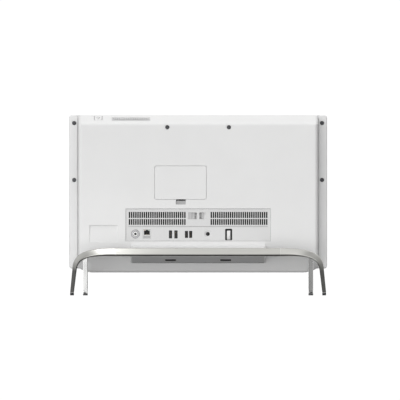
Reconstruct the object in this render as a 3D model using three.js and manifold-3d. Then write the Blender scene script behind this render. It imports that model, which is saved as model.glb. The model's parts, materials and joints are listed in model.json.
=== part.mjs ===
// An all-in-one PC on a four-legged bow stand, in millimetres.
// +Z is up, the screen faces -Y and the ports face +Y. The origin is on the table,
// under the middle of the footprint, so +X is on the user's right.
import * as THREE from "three";
import { mergeVertices } from "three/addons/utils/BufferGeometryUtils.js";
import Module from "manifold-3d";

// ---------------------------------------------------------------- driving dimensions

const GAP = 0.3; // between pieces that touch
const WALL = 2.5; // plastic shells

const FRAME_HALF = 266.5; // front frame, 21.5-inch panel plus its bezel
const FRAME_BOTTOM = 55.5;
const FRAME_TOP = 372.5;
const FRONT_Y = -44;
const SEAM_Y = -28; // plane where the front frame meets the rear cover
const BACK_Y = 5; // flat back of the rear cover

const COVER_HALF = 248;
const COVER_TOP = 372;
const COVER_BOTTOM = 47.3;
const CORNER_Z = 57.6; // height of the cover's swept lower corners
const SWEEP_START = 217; // half width where the lower corners start to rise
const SLOPE_TOP_Z = 84; // the lower back slopes forward below this height
const LIP = { y: -23, z: 50.8 }; // where the slope ends and the bottom edge turns under
const CROWN_Y = 0; // rear end of the sloping top
const CROWN_Z = 358;

const SCREEN = { half: 243, bottom: 82.5, top: 361.5 };
const WINDOW = { half: 239, bottom: 87, top: 357 };

const IO = { half: 150, bottom: 112, top: 179.5, floorY: 3.8, thick: 2.2 };
const PORT_Z = 126.9;
const VENT = { inner: 25.1, pitch: 4.402, slots: 27, width: 2 };
const VENT_ROWS = [
  [145.7, 157.8],
  [159.9, 172.5],
];

const HATCH = { x: [-17, 89.7], z: [198.5, 267.3], thick: 2.2 };
const NOTCH = { x: [25.6, 45.7], z: [187.8, 198] };
const LABEL = { x: [166.5, 224.4], z: [110.3, 145] };

const TILT_AXIS = { y: 30, z: 89.5 };
const HINGE_X = 57;

const BAR = { half: 170, y: [39.2, 47.2], z: [81, 97.9] }; // straight middle of the bow
const LEG_X = 232.9; // front legs
const FOOT_REACH = 101; // from the middle to the outer end of each foot, along Y

const BOARD_Y = [-27, -25.4];
const DISC = { x: 184, y: [-20, -8], z: [150, 278] };
const FAN = { x: 132, z: 312, radius: 25, y: [-27, -9] };

// ---------------------------------------------------------------- materials

function finish(color, roughness, metalness = 0) {
  return new THREE.MeshStandardMaterial({ color, roughness, metalness });
}

const WHITE = finish(0xf2f2f0, 0.45);
const LIGHT_GRAY = finish(0xc9c9c7, 0.5);
const BLACK = finish(0x141416, 0.35);
const BOARD_GREEN = finish(0x1f4a34, 0.6);
const RUBBER = finish(0x4a4a4a, 0.9);
const SATIN_METAL = finish(0xb9b8ae, 0.3, 1);
const STEEL = finish(0x9b9da0, 0.4, 1);
const COPPER = finish(0xb8734a, 0.35, 1);

// ---------------------------------------------------------------- solids

const wasm = await Module();
wasm.setup();

function toSolid(geometry) {
  const bare = geometry.index ? geometry.toNonIndexed() : geometry.clone();
  bare.deleteAttribute("normal");
  bare.deleteAttribute("uv");
  const merged = mergeVertices(bare, 1e-4);
  return new wasm.Manifold(
    new wasm.Mesh({
      numProp: 3,
      vertProperties: merged.attributes.position.array,
      triVerts: new Uint32Array(merged.index.array),
    }),
  );
}

function toGeometry(solid) {
  const { vertProperties, triVerts } = solid.getMesh();
  const geometry = new THREE.BufferGeometry();
  geometry.setAttribute("position", new THREE.BufferAttribute(vertProperties, 3));
  geometry.setIndex(new THREE.BufferAttribute(triVerts, 1));
  geometry.computeVertexNormals();
  return geometry;
}

function join(...solids) {
  return solids.reduce((all, solid) => all.add(solid));
}

function cut(solid, ...tools) {
  return tools.reduce((rest, tool) => rest.subtract(tool), solid);
}

function box([x0, x1], [y0, y1], [z0, z1]) {
  const geometry = new THREE.BoxGeometry(x1 - x0, y1 - y0, z1 - z0);
  return toSolid(geometry.translate((x0 + x1) / 2, (y0 + y1) / 2, (z0 + z1) / 2));
}

// A shape drawn in X and Z, from one Y to another.
function alongY(shape, [y0, y1], curveSegments = 4) {
  const geometry = new THREE.ExtrudeGeometry(shape, {
    depth: y1 - y0,
    bevelEnabled: false,
    curveSegments,
  });
  return toSolid(geometry.rotateX(Math.PI / 2).translate(0, y1, 0));
}

// A profile drawn in Y and Z, from one X to another.
function alongX(shape, [x0, x1], curveSegments = 4) {
  const geometry = new THREE.ExtrudeGeometry(shape, {
    depth: x1 - x0,
    bevelEnabled: false,
    curveSegments,
  });
  const turn = new THREE.Matrix4().set(0, 0, 1, x0, 1, 0, 0, 0, 0, 1, 0, 0, 0, 0, 0, 1);
  return toSolid(geometry.applyMatrix4(turn));
}

// A plan drawn in X and Y, from one Z to another.
function alongZ(shape, [z0, z1], curveSegments = 4) {
  const geometry = new THREE.ExtrudeGeometry(shape, {
    depth: z1 - z0,
    bevelEnabled: false,
    curveSegments,
  });
  return toSolid(geometry.translate(0, 0, z0));
}

function polygon(...points) {
  return new THREE.Shape(points.map(([a, b]) => new THREE.Vector2(a, b)));
}

function roundedRectangle([a0, a1], [b0, b1], radius) {
  const shape = new THREE.Shape();
  shape.absarc(a1 - radius, b0 + radius, radius, -Math.PI / 2, 0);
  shape.absarc(a1 - radius, b1 - radius, radius, 0, Math.PI / 2);
  shape.absarc(a0 + radius, b1 - radius, radius, Math.PI / 2, Math.PI);
  shape.absarc(a0 + radius, b0 + radius, radius, Math.PI, Math.PI * 1.5);
  shape.closePath();
  return shape;
}

function diskY(radius, x, z, [y0, y1], sides = 16) {
  const geometry = new THREE.CylinderGeometry(radius, radius, y1 - y0, sides);
  return toSolid(geometry.translate(x, (y0 + y1) / 2, z));
}

function rodX(radius, y, z, [x0, x1], sides = 16) {
  const geometry = new THREE.CylinderGeometry(radius, radius, x1 - x0, sides);
  geometry.rotateZ(Math.PI / 2);
  return toSolid(geometry.translate((x0 + x1) / 2, y, z));
}

// Skin over rings of points that all have the same count, closed at both ends.
function loft(rings) {
  const count = rings[0].length;
  const positions = rings.flat().flatMap((point) => point.toArray());
  const faces = [];
  for (let ring = 0; ring + 1 < rings.length; ring++) {
    for (let i = 0; i < count; i++) {
      const a = ring * count + i;
      const b = ring * count + ((i + 1) % count);
      faces.push(a, b, b + count, a, b + count, a + count);
    }
  }
  const last = (rings.length - 1) * count;
  for (let i = 1; i + 1 < count; i++) {
    faces.push(0, i + 1, i);
    faces.push(last, last + i, last + i + 1);
  }
  const geometry = new THREE.BufferGeometry();
  geometry.setAttribute("position", new THREE.Float32BufferAttribute(positions, 3));
  geometry.setIndex(faces);
  geometry.computeVertexNormals();
  return geometry;
}

const stand = new THREE.Group();
const display = new THREE.Group();

function place(group, name, shape, material) {
  const geometry = shape.isBufferGeometry ? shape : toGeometry(shape);
  const mesh = new THREE.Mesh(geometry, material);
  mesh.name = name;
  group.add(mesh);
  return mesh;
}

// The same piece on the user's right (+X) and, mirrored, on the left.
function placePair(group, name, shape, material) {
  const right = place(group, `${name}_right`, shape, material);
  const left = place(group, `${name}_left`, right.geometry, material);
  left.scale.x = -1;
}

// ---------------------------------------------------------------- stand

// One cross-section of the bow: u runs from front to back, v from its inner to its outer edge.
const BOW_SECTION = [
  [-1, -0.85],
  [-0.7, -1],
  [0, -1],
  [1, -0.45],
  [1, 0.7],
  [0.4, 1],
  [-0.7, 1],
  [-1, 0.85],
];

// The bend's outer edge, inner edge and lean, as cubic curves from the bar to the leg.
const OUTER_EDGE = [
  [170, 97.9],
  [232, 98],
  [256, 88],
  [259.5, 58],
];
const INNER_EDGE = [
  [170, 81],
  [222, 82.5],
  [247.5, 79],
  [250.8, 52],
];
const BAR_MID_Y = (BAR.y[0] + BAR.y[1]) / 2;
const LEAN = [BAR_MID_Y, BAR_MID_Y, 50.3, 66];
const REAR_LEG = { outer: 264.5, inner: 256.4, z: 5.9, y: 93 };
const BEND_STEPS = 10;
const HALF_DEPTH = { bar: (BAR.y[1] - BAR.y[0]) / 2, leg: 6 };

function cubic(points) {
  return new THREE.CubicBezierCurve(...points.map(([x, z]) => new THREE.Vector2(x, z)));
}

function bowRing(outer, inner, y, halfDepth) {
  const middle = outer.clone().add(inner).multiplyScalar(0.5);
  const reach = outer.clone().sub(inner).multiplyScalar(0.5);
  return BOW_SECTION.map(
    ([u, v]) =>
      new THREE.Vector3(middle.x + reach.x * v, y + u * halfDepth, middle.y + reach.y * v),
  );
}

function bowEnd() {
  const outerEdge = cubic(OUTER_EDGE);
  const innerEdge = cubic(INNER_EDGE);
  const lean = cubic(LEAN.map((y) => [y, 0]));
  const rings = [];
  for (let step = 0; step <= BEND_STEPS; step++) {
    const t = step / BEND_STEPS;
    const halfDepth = THREE.MathUtils.lerp(HALF_DEPTH.bar, HALF_DEPTH.leg, t);
    rings.push(
      bowRing(outerEdge.getPoint(t), innerEdge.getPoint(t), lean.getPoint(t).x, halfDepth),
    );
  }
  const outerFoot = new THREE.Vector2(REAR_LEG.outer, REAR_LEG.z);
  const innerFoot = new THREE.Vector2(REAR_LEG.inner, REAR_LEG.z);
  rings.push(bowRing(outerFoot, innerFoot, REAR_LEG.y, HALF_DEPTH.leg));
  for (const point of rings[0]) point.x += GAP;
  return loft(rings);
}

function bowBar() {
  const middleZ = (BAR.z[0] + BAR.z[1]) / 2;
  const halfZ = (BAR.z[1] - BAR.z[0]) / 2;
  const outline = BOW_SECTION.map(([u, v]) => [
    BAR_MID_Y + u * HALF_DEPTH.bar,
    middleZ + v * halfZ,
  ]);
  return alongX(polygon(...outline), [-BAR.half, BAR.half]);
}

// Height of the bow's lower edge over the front legs.
function undersideZ(x) {
  const edge = cubic(INNER_EDGE);
  let t = 0;
  while (edge.getPoint(t).x < x) t += 0.002;
  return edge.getPoint(t).y;
}

const FRONT_LEG = { halfX: 5, halfY: 8, topY: 48.6, topHalfY: 5, footZ: 3.3, footY: -93 };

function frontLegRing(y, halfY, heightAt) {
  const corner = 1.8; // cut off each corner of the section
  const { halfX } = FRONT_LEG;
  const outline = [
    [-halfX, -halfY + corner],
    [-halfX + corner, -halfY],
    [halfX - corner, -halfY],
    [halfX, -halfY + corner],
    [halfX, halfY - corner],
    [halfX - corner, halfY],
    [-halfX + corner, halfY],
    [-halfX, halfY - corner],
  ];
  return outline.map(([dx, dy]) => new THREE.Vector3(LEG_X + dx, y + dy, heightAt(LEG_X + dx)));
}

function frontLeg() {
  const { footZ, footY, halfY, topY, topHalfY } = FRONT_LEG;
  return loft([
    frontLegRing(footY + 6, halfY, () => footZ),
    frontLegRing(topY, topHalfY, (x) => undersideZ(x) - GAP),
  ]);
}

function frontFoot() {
  const { footZ, footY, halfX, halfY } = FRONT_LEG;
  const plan = roundedRectangle(
    [LEG_X - halfX, LEG_X + halfX],
    [footY - halfY, footY + 6 + halfY],
    2,
  );
  return alongZ(plan, [0, footZ - GAP], 3);
}

function rearFoot() {
  const plan = roundedRectangle(
    [REAR_LEG.inner, REAR_LEG.outer],
    [FOOT_REACH - 14, FOOT_REACH],
    2,
  );
  return alongZ(plan, [0, REAR_LEG.z - GAP], 3);
}

// Steel arm from the bow to the tilt axis, with a flange on the bow.
function hingeArm() {
  const { y, z } = TILT_AXIS;
  const x = [HINGE_X - 2.5, HINGE_X + 2.5];
  const flange = box([HINGE_X - 10, HINGE_X + 10], [36.6, BAR.y[0] - GAP], [86, 92.8]);
  const eye = rodX(6, y, z, x);
  const bar = box(x, [y, 37], [86, 92.8]);
  return cut(join(eye, bar, flange), rodX(3.3, y, z, [HINGE_X - 20, HINGE_X + 20]));
}

function hingePin() {
  const { y, z } = TILT_AXIS;
  const pin = rodX(3, y, z, [HINGE_X - 8, HINGE_X + 9]);
  return join(pin, rodX(4.6, y, z, [HINGE_X + 9, HINGE_X + 11]));
}

place(stand, "bow_center_bar", bowBar(), SATIN_METAL);
placePair(stand, "bow_end", bowEnd(), SATIN_METAL);
placePair(stand, "front_leg", frontLeg(), SATIN_METAL);
placePair(stand, "foot_front", frontFoot(), RUBBER);
placePair(stand, "foot_rear", rearFoot(), RUBBER);
placePair(stand, "hinge_arm", hingeArm(), STEEL);
placePair(stand, "hinge_pin", hingePin(), STEEL);

// ---------------------------------------------------------------- rear cover

// Y of the lower back's slope at a height, for a surface set in from the outside.
function slopeY(z, inset = 0) {
  const rise = SLOPE_TOP_Z - LIP.z;
  const run = BACK_Y - LIP.y;
  const length = Math.hypot(rise, run);
  const startY = BACK_Y - (inset * rise) / length;
  const startZ = SLOPE_TOP_Z + (inset * run) / length;
  return startY - ((startZ - z) * run) / rise;
}

function coverOutline(inset) {
  const side = COVER_HALF - inset;
  const top = COVER_TOP - inset;
  const bottom = COVER_BOTTOM + inset;
  const radius = 7 - inset;
  const bend = (SWEEP_START + COVER_HALF) / 2;
  const shape = new THREE.Shape();
  shape.moveTo(-side, CORNER_Z + inset);
  shape.quadraticCurveTo(-bend, bottom, -SWEEP_START, bottom);
  shape.lineTo(SWEEP_START, bottom);
  shape.quadraticCurveTo(bend, bottom, side, CORNER_Z + inset);
  shape.absarc(side - radius, top - radius, radius, 0, Math.PI / 2);
  shape.absarc(radius - side, top - radius, radius, Math.PI / 2, Math.PI);
  shape.closePath();
  return shape;
}

function coverProfile(inset, frontY, floorZ) {
  const heel = inset === 0 ? [LIP.y, LIP.z] : [slopeY(floorZ, inset), floorZ];
  const shape = new THREE.Shape();
  shape.moveTo(frontY, floorZ);
  shape.lineTo(...heel);
  shape.lineTo(BACK_Y - inset, SLOPE_TOP_Z + inset * 0.4);
  shape.lineTo(BACK_Y - inset, CROWN_Z - 8);
  shape.quadraticCurveTo(BACK_Y - inset, CROWN_Z - 2.5 - inset, CROWN_Y, CROWN_Z - 1.1 * inset);
  shape.lineTo(frontY, COVER_TOP - 1.1 * inset);
  shape.closePath();
  return shape;
}

function coverPlan(inset, frontY) {
  const side = COVER_HALF - inset;
  const back = BACK_Y - inset;
  const radius = 8 - inset;
  const shape = new THREE.Shape();
  shape.moveTo(-side, frontY);
  shape.lineTo(side, frontY);
  shape.absarc(side - radius, back - radius, radius, 0, Math.PI / 2);
  shape.absarc(radius - side, back - radius, radius, Math.PI / 2, Math.PI);
  shape.closePath();
  return shape;
}

function coverBody(inset, frontY, floorZ) {
  const tall = alongY(coverOutline(inset), [frontY, BACK_Y + 1]);
  const deep = alongX(coverProfile(inset, frontY, floorZ), [-COVER_HALF - 1, COVER_HALF + 1]);
  const wide = alongZ(coverPlan(inset, frontY), [COVER_BOTTOM - 1, COVER_TOP + 1]);
  return tall.intersect(deep).intersect(wide);
}

const TOP_TILT = Math.atan2(COVER_TOP - CROWN_Z, CROWN_Y - SEAM_Y);

// A frame that lies on the sloping top: its Z is the top's outward normal.
function onTop(x, z) {
  const y = SEAM_Y + (COVER_TOP - z) / Math.tan(TOP_TILT);
  return new THREE.Matrix4()
    .makeTranslation(x, y, z)
    .multiply(new THREE.Matrix4().makeRotationX(-TOP_TILT));
}

function moved(solid, matrix) {
  return toSolid(toGeometry(solid).applyMatrix4(matrix));
}

const POWER = { frame: onTop(206.3, 366.5), halfX: 8.2, halfY: 9.4 };
const TOP_VENT = { frame: onTop(138.7, 364.6), halfX: 39.3, halfY: 8.6 };

const COVER_SCREWS = [63.6, -63.6].map((x) => [x, 347.4]);
const WING_SCREWS = [256, -256].flatMap((x) => [
  [x, 356],
  [x, 238.5],
]);

function screwHole(x, z, surfaceY) {
  return join(
    diskY(4.7, x, z, [surfaceY - 1.7, surfaceY + 1]),
    diskY(2.1, x, z, [surfaceY - 12, surfaceY]),
  );
}

function grow([low, high], by) {
  return [low - by, high + by];
}

function rearCover() {
  const shell = cut(coverBody(0, SEAM_Y, COVER_BOTTOM), coverBody(WALL, SEAM_Y - 1, 58));
  const behind = BACK_Y - WALL + 0.1;
  const hatchLedge = box(grow(HATCH.x, 3), [0, behind], grow(HATCH.z, 3));
  const notchTray = box(grow(NOTCH.x, 2), [-1, behind], [NOTCH.z[0] - 2, HATCH.z[0]]);
  const labelTray = box(grow(LABEL.x, 2), [0, behind], grow(LABEL.z, 2));
  const bosses = COVER_SCREWS.map(([x, z]) => diskY(6, x, z, [-8, behind]));
  const ventFrame = moved(
    box([-TOP_VENT.halfX - 2, TOP_VENT.halfX + 2], [-TOP_VENT.halfY - 2, TOP_VENT.halfY + 2], [-5, -1]),
    TOP_VENT.frame,
  );
  const solid = join(shell, hatchLedge, notchTray, labelTray, ventFrame, ...bosses);

  const hatchPocket = alongY(
    roundedRectangle(grow(HATCH.x, GAP), grow(HATCH.z, GAP), 4),
    [BACK_Y - HATCH.thick - GAP, BACK_Y + 1],
  );
  const hatchOpening = box(grow(HATCH.x, -4), [-2, BACK_Y], grow(HATCH.z, -4));
  const notch = box(NOTCH.x, [1, BACK_Y + 1], [NOTCH.z[0], HATCH.z[0] + 1]);
  const labelRecess = alongX(
    polygon(
      [BACK_Y - 3, LABEL.z[1]],
      [BACK_Y - 0.6, LABEL.z[0]],
      [BACK_Y + 1, LABEL.z[0]],
      [BACK_Y + 1, LABEL.z[1]],
    ),
    LABEL.x,
  );
  const ioWindow = box([-IO.half, IO.half], [-5, BACK_Y + 1], [IO.bottom, IO.top]);
  const hingeSlots = [-HINGE_X, HINGE_X].map((x) => box([x - 11, x + 11], [-12, BACK_Y + 1], [82, 98]));
  const discMouth = box([COVER_HALF - 6, COVER_HALF + 2], grow(DISC.y, 0.5), grow(DISC.z, 0.5));
  const buttonHole = moved(
    box([-POWER.halfX - GAP, POWER.halfX + GAP], [-POWER.halfY - GAP, POWER.halfY + GAP], [-6, 3]),
    POWER.frame,
  );
  const ventHole = moved(
    box([-TOP_VENT.halfX, TOP_VENT.halfX], [-TOP_VENT.halfY, TOP_VENT.halfY], [-8, 3]),
    TOP_VENT.frame,
  );
  const screwHoles = COVER_SCREWS.map(([x, z]) => screwHole(x, z, BACK_Y));
  return cut(
    solid,
    hatchPocket,
    hatchOpening,
    notch,
    labelRecess,
    ioWindow,
    ...hingeSlots,
    discMouth,
    buttonHole,
    ventHole,
    ...screwHoles,
  );
}

function memoryHatch() {
  return alongY(roundedRectangle(HATCH.x, HATCH.z, 3.7), [BACK_Y - HATCH.thick, BACK_Y]);
}

// ---------------------------------------------------------------- port panel

const LOCK = { x: [-16.3, 19.8], z: [157.8, 171.3], post: [-2.3, 2.7], backY: -7, gap: 4.4 };
const COAX = { x: 129.5, radius: 8.8 };
const LAN = { x: 105.8, half: 8, z: [118, 136] };
const USB = [
  { name: "usb_port_1", x: 57, height: 16.2, width: 6.2 },
  { name: "usb_port_2", x: 45.7, height: 16.2, width: 6.2 },
  { name: "usb_port_3", x: 24, height: 14, width: 6 },
  { name: "usb_port_4", x: 15.4, height: 14, width: 6 },
];
const POWER_IN = { x: -20.2, radius: 3.7, dimple: 9 };
const HOOK = { x: -63.1, halfGap: 6.9, half: 3.9, z: [112, 137.2] };

function ventSlots() {
  const slots = [];
  for (const side of [-1, 1]) {
    for (const row of VENT_ROWS) {
      for (let i = 0; i < VENT.slots; i++) {
        const x = side * (VENT.inner + VENT.pitch * (i + 0.5));
        slots.push(box([x - VENT.width / 2, x + VENT.width / 2], [-2, BACK_Y], row));
      }
    }
  }
  return slots;
}

// On each side of the post the pocket is deep, then ramps up to its outer end.
function lockPocket() {
  const { x, z, post, backY, gap } = LOCK;
  const [left, right] = [
    [post[0], post[0] - gap, x[0]],
    [post[1], post[1] + gap, x[1]],
  ].map(([inner, ramp, outer]) =>
    alongZ(
      polygon([inner, BACK_Y], [inner, backY], [ramp, backY], [ramp, 0.2], [outer, 2.4], [outer, BACK_Y]),
      z,
    ),
  );
  const behindPost = box([post[0] - gap, post[1] + gap], [backY, -2], z);
  return [left, right, behindPost];
}

function portPanel() {
  const plate = box(
    [-IO.half + GAP, IO.half - GAP],
    [IO.floorY - IO.thick, BACK_Y - GAP],
    [IO.bottom + GAP, IO.top - GAP],
  );
  const basin = new THREE.Shape();
  basin.moveTo(IO.floorY, IO.top - 1.6);
  basin.lineTo(IO.floorY, IO.bottom + 2.4);
  basin.lineTo(BACK_Y + 1, IO.bottom + 0.9);
  basin.lineTo(BACK_Y + 1, IO.top - 0.9);
  basin.closePath();
  const lockTray = box(grow(LOCK.x, 2), [LOCK.backY - 2, IO.floorY - 1], grow(LOCK.z, 2));
  const inletSeat = diskY(POWER_IN.dimple + 2, POWER_IN.x, PORT_Z, [-1, IO.floorY - 1], 20);
  const dimple = toSolid(
    new THREE.CylinderGeometry(POWER_IN.dimple, POWER_IN.radius + 1.2, 2.6, 20).translate(
      POWER_IN.x,
      IO.floorY - 1.2,
      PORT_Z,
    ),
  );
  return cut(
    join(plate, lockTray, inletSeat),
    alongX(basin, [-IO.half + 1.6, IO.half - 1.6]),
    ...ventSlots(),
    ...lockPocket(),
    diskY(COAX.radius + GAP, COAX.x, PORT_Z, [0, BACK_Y], 20),
    box([LAN.x - LAN.half - GAP, LAN.x + LAN.half + GAP], [0, BACK_Y], grow(LAN.z, GAP)),
    ...USB.map(({ x, height, width }) =>
      box(grow([x - width / 2, x + width / 2], GAP), [0, BACK_Y], grow([126 - height / 2, 126 + height / 2], GAP)),
    ),
    dimple,
    diskY(POWER_IN.radius + GAP, POWER_IN.x, PORT_Z, [-3, BACK_Y]),
    box([HOOK.x - HOOK.halfGap, HOOK.x + HOOK.halfGap], [0, BACK_Y + 1], [HOOK.z[0] + 2, HOOK.z[1]]),
  );
}

const PORT_FACE = IO.floorY - GAP;

function antennaJack() {
  const base = diskY(COAX.radius, COAX.x, PORT_Z, [-2, IO.floorY - 1], 20);
  const barrel = diskY(5, COAX.x, PORT_Z, [-25, BACK_Y + 1.5], 16);
  return cut(join(base, barrel), diskY(3.2, COAX.x, PORT_Z, [-6, BACK_Y + 2], 12));
}

function lanJack() {
  const body = box([LAN.x - LAN.half, LAN.x + LAN.half], [-25, PORT_FACE], LAN.z);
  const mouth = box([LAN.x - 6, LAN.x + 6], [-16, BACK_Y], [125.2, 133.6]);
  const latch = box([LAN.x - 3, LAN.x + 3], [-16, BACK_Y], [133, 135.2]);
  return cut(body, mouth, latch);
}

function usbPort({ x, height, width }) {
  const middle = 126;
  const body = box([x - width / 2, x + width / 2], [-25, PORT_FACE], [middle - height / 2, middle + height / 2]);
  const mouth = box([x - 2.4, x + 2.4], [-15, BACK_Y], [middle - 6.2, middle + 6.2]);
  return cut(body, mouth);
}

function powerInlet() {
  const body = box([POWER_IN.x - 6, POWER_IN.x + 6], [-25, -1 - GAP], [PORT_Z - 5.5, PORT_Z + 5.5]);
  return cut(body, diskY(3, POWER_IN.x, PORT_Z, [-14, 0]));
}

// A tongue that rises from the ledge in front of its opening, for the power lead to hang on.
function cableHook() {
  const x = [HOOK.x - HOOK.half, HOOK.x + HOOK.half];
  const tongue = new THREE.Shape();
  tongue.moveTo(-6, 114.4);
  tongue.lineTo(BACK_Y - 2.6, 114.4);
  tongue.lineTo(BACK_Y - 0.8, 118);
  tongue.lineTo(BACK_Y - 0.8, 131);
  tongue.quadraticCurveTo(BACK_Y - 0.8, 134, BACK_Y - 3, 134);
  tongue.lineTo(BACK_Y - 3, 119);
  tongue.lineTo(-6, 119);
  tongue.closePath();
  const plate = box([HOOK.x - 9, HOOK.x + 9], [-8, -6], [112, 139]);
  return join(alongX(tongue, x), plate);
}

// ---------------------------------------------------------------- front

function frontFrame() {
  const outer = alongY(
    roundedRectangle([-FRAME_HALF, FRAME_HALF], [FRAME_BOTTOM, FRAME_TOP], 6),
    [FRONT_Y, SEAM_Y - GAP],
  );
  const glassSeat = alongY(
    roundedRectangle([-FRAME_HALF + 3.6, FRAME_HALF - 3.6], [FRAME_BOTTOM + 3.6, FRAME_TOP - 3.6], 3),
    [FRONT_Y - 1, FRONT_Y + 2],
  );
  const window = box([-WINDOW.half, WINDOW.half], [FRONT_Y, -39], [WINDOW.bottom, WINDOW.top]);
  const hollow = box([-262.5, 262.5], [-40, -31], [60, 368]);
  const rearMouth = box([-245, 245], [-31.5, -27], [60, 368]);
  const bosses = WING_SCREWS.map(([x, z]) => diskY(6, x, z, [-40.5, -30.5]));
  const holes = WING_SCREWS.map(([x, z]) => screwHole(x, z, SEAM_Y - GAP));
  const lensHole = diskY(3, 0, 365.3, [-43, -39]);
  const soundSlots = [];
  for (const side of [-1, 1]) {
    for (let i = 0; i < 10; i++) {
      const x = side * (140 + 8 * i);
      soundSlots.push(box([x - 2.5, x + 2.5], [-38, -35.5], [50, 61]));
    }
  }
  const solid = join(cut(outer, glassSeat, window, hollow, rearMouth), ...bosses);
  return cut(solid, lensHole, ...holes, ...soundSlots);
}

function frontGlass() {
  return alongY(
    roundedRectangle([-FRAME_HALF + 3.9, FRAME_HALF - 3.9], [FRAME_BOTTOM + 3.9, FRAME_TOP - 3.9], 2.7),
    [FRONT_Y + 0.1, FRONT_Y + 1.7],
  );
}

function cameraModule() {
  const board = box([-22, 22], [-39.7, -34], [362, 367.6]);
  return join(board, diskY(2.5, 0, 365.3, [-42, -39.6], 12));
}

// ---------------------------------------------------------------- inside

function chassisPlate() {
  const plate = alongY(roundedRectangle([-240, 240], [64, 364], 6), [-32, -30.8], 2);
  const windows = [-195, 195].map((x) => box([x - 18, x + 18], [-33, -30], [110, 145]));
  return cut(plate, ...windows);
}

function hingeBracket() {
  const { y, z } = TILT_AXIS;
  const base = box([HINGE_X - 13, HINGE_X + 13], [-30.5, -28.3], [70, 109]);
  const ears = [-5.5, 5.5].map((side) => {
    const x = [HINGE_X + side - 1.5, HINGE_X + side + 1.5];
    return join(box(x, [-29, y], [z - 6, z + 6]), rodX(6, y, z, x));
  });
  return cut(join(base, ...ears), rodX(3.3, y, z, [HINGE_X - 20, HINGE_X + 20]));
}

const BRACKET = { half: 139, tipY: 35.5, tipZ: [80.8, 98], foot: [67.1, 111.5], wall: 2.3 };

// The upper face starts steep on the back and flattens towards the bow.
function bracketTop(dy, dz) {
  const { tipY, tipZ, foot } = BRACKET;
  const curve = new THREE.QuadraticBezierCurve(
    new THREE.Vector2(BACK_Y + GAP + dy, foot[1] + dz),
    new THREE.Vector2(BACK_Y + 4 + dy, foot[1] - 7 + dz),
    new THREE.Vector2(tipY + dy, tipZ[1] + dz),
  );
  return curve.getPoints(8).map((point) => [point.x, point.y]);
}

function bracketCover() {
  const { half, tipY, tipZ, foot, wall } = BRACKET;
  const slopeOff = GAP * 1.35; // along Y, clears the sloping back by the gap
  const heelY = slopeY(foot[0]) + slopeOff;
  const lowRun = (tipZ[0] - foot[0]) / (tipY - heelY);
  const outer = polygon(
    ...bracketTop(0, 0),
    [tipY, tipZ[0]],
    [heelY, foot[0]],
    [BACK_Y + GAP, SLOPE_TOP_Z - 0.1],
  );
  const inner = polygon(
    ...bracketTop(-1.8, -wall),
    [tipY + 5, tipZ[1] - wall - 0.6],
    [tipY + 5, tipZ[0] + lowRun * 5 + wall],
    [-25, foot[0] - lowRun * (heelY + 25) + wall],
    [-25, foot[1] - wall],
  );
  const slots = [-HINGE_X, HINGE_X].map((x) => box([x - 11.3, x + 11.3], [4, 15], [60, 80]));
  return cut(alongX(outer, [-half, half]), alongX(inner, [-half + 2.2, half - 2.2]), ...slots);
}

// Five of the six faces of a box, open towards +X.
function drawerCase(x, y, z, wall) {
  return cut(box(x, y, z), box([x[0] + wall, x[1] + 1], grow(y, -wall), grow(z, -wall)));
}

function discTray() {
  const middleZ = (DISC.z[0] + DISC.z[1]) / 2;
  const plate = box([124, 245], [-16.5, -12.5], [153, 275]);
  const bezel = box([244.4, COVER_HALF - 0.2], grow(DISC.y, 0.1), grow(DISC.z, 0.1));
  return cut(
    join(plate, bezel),
    diskY(58.5, DISC.x, middleZ, [-14, -12], 40),
    diskY(9, DISC.x, middleZ, [-15.5, -12], 20),
    box([246.2, COVER_HALF + 1], [-17, -11], [258, 268]),
  );
}

function discHub() {
  const middleZ = (DISC.z[0] + DISC.z[1]) / 2;
  const base = diskY(8, DISC.x, middleZ, [-15.1, -13.2], 20);
  return join(base, diskY(6.8, DISC.x, middleZ, [-13.3, -10.8], 6));
}

function ejectButton() {
  return box([246.6, COVER_HALF + 0.3], [-16.6, -11.4], [258.4, 267.6]);
}

function fanHousing() {
  const [y0, y1] = FAN.y;
  const outer = box([FAN.x - 38, FAN.x + 38], [y0, y1], [FAN.z - 28, FAN.z + 28]);
  const hollow = box([FAN.x - 36.5, FAN.x + 36.5], [y0 + 1.2, y1 - 1.2], [FAN.z - 26.5, FAN.z + 30]);
  return cut(outer, hollow, diskY(18, FAN.x, FAN.z, [y1 - 2, y1 + 1], 24));
}

function fanImpeller() {
  const blades = 13;
  const [y0, y1] = [FAN.y[0] + 2.4, FAN.y[1] - 2.4];
  const hub = diskY(9.5, FAN.x, FAN.z, [y0, y1], 16);
  const disk = diskY(FAN.radius, FAN.x, FAN.z, [y0, y0 + 1.2], 26);
  const wings = [];
  for (let i = 0; i < blades; i++) {
    const blade = new THREE.BoxGeometry(FAN.radius - 8.5, y1 - y0, 1);
    blade.rotateY(0.35).translate((FAN.radius + 7.5) / 2, 0, 0);
    blade.rotateY((i * 2 * Math.PI) / blades);
    wings.push(toSolid(blade.translate(FAN.x, (y0 + y1) / 2, FAN.z)));
  }
  return join(hub, disk, ...wings);
}

function finStack() {
  const x = [98, 178];
  const back = box(x, [-27, -25.8], [341, 353]);
  const fins = [];
  for (let i = 0; i < 16; i++) {
    const left = x[0] + i * 5.3;
    fins.push(box([left, left + 0.5], [-26, -15.6], [341, 353]));
  }
  return join(back, ...fins);
}

function heatPipe() {
  const route = new THREE.CatmullRomCurve3(
    [
      [-60, -12.2, 206],
      [-60, -12.2, 262],
      [-48, -12.2, 310],
      [0, -12.2, 340],
      [60, -12.2, 347],
      [120, -12.2, 347],
      [176, -12.2, 347],
    ].map((point) => new THREE.Vector3(...point)),
  );
  const section = new THREE.Shape().absarc(0, 0, 2.9, 0, 2 * Math.PI);
  return toSolid(
    new THREE.ExtrudeGeometry(section, { steps: 24, curveSegments: 4, extrudePath: route }),
  );
}

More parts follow.
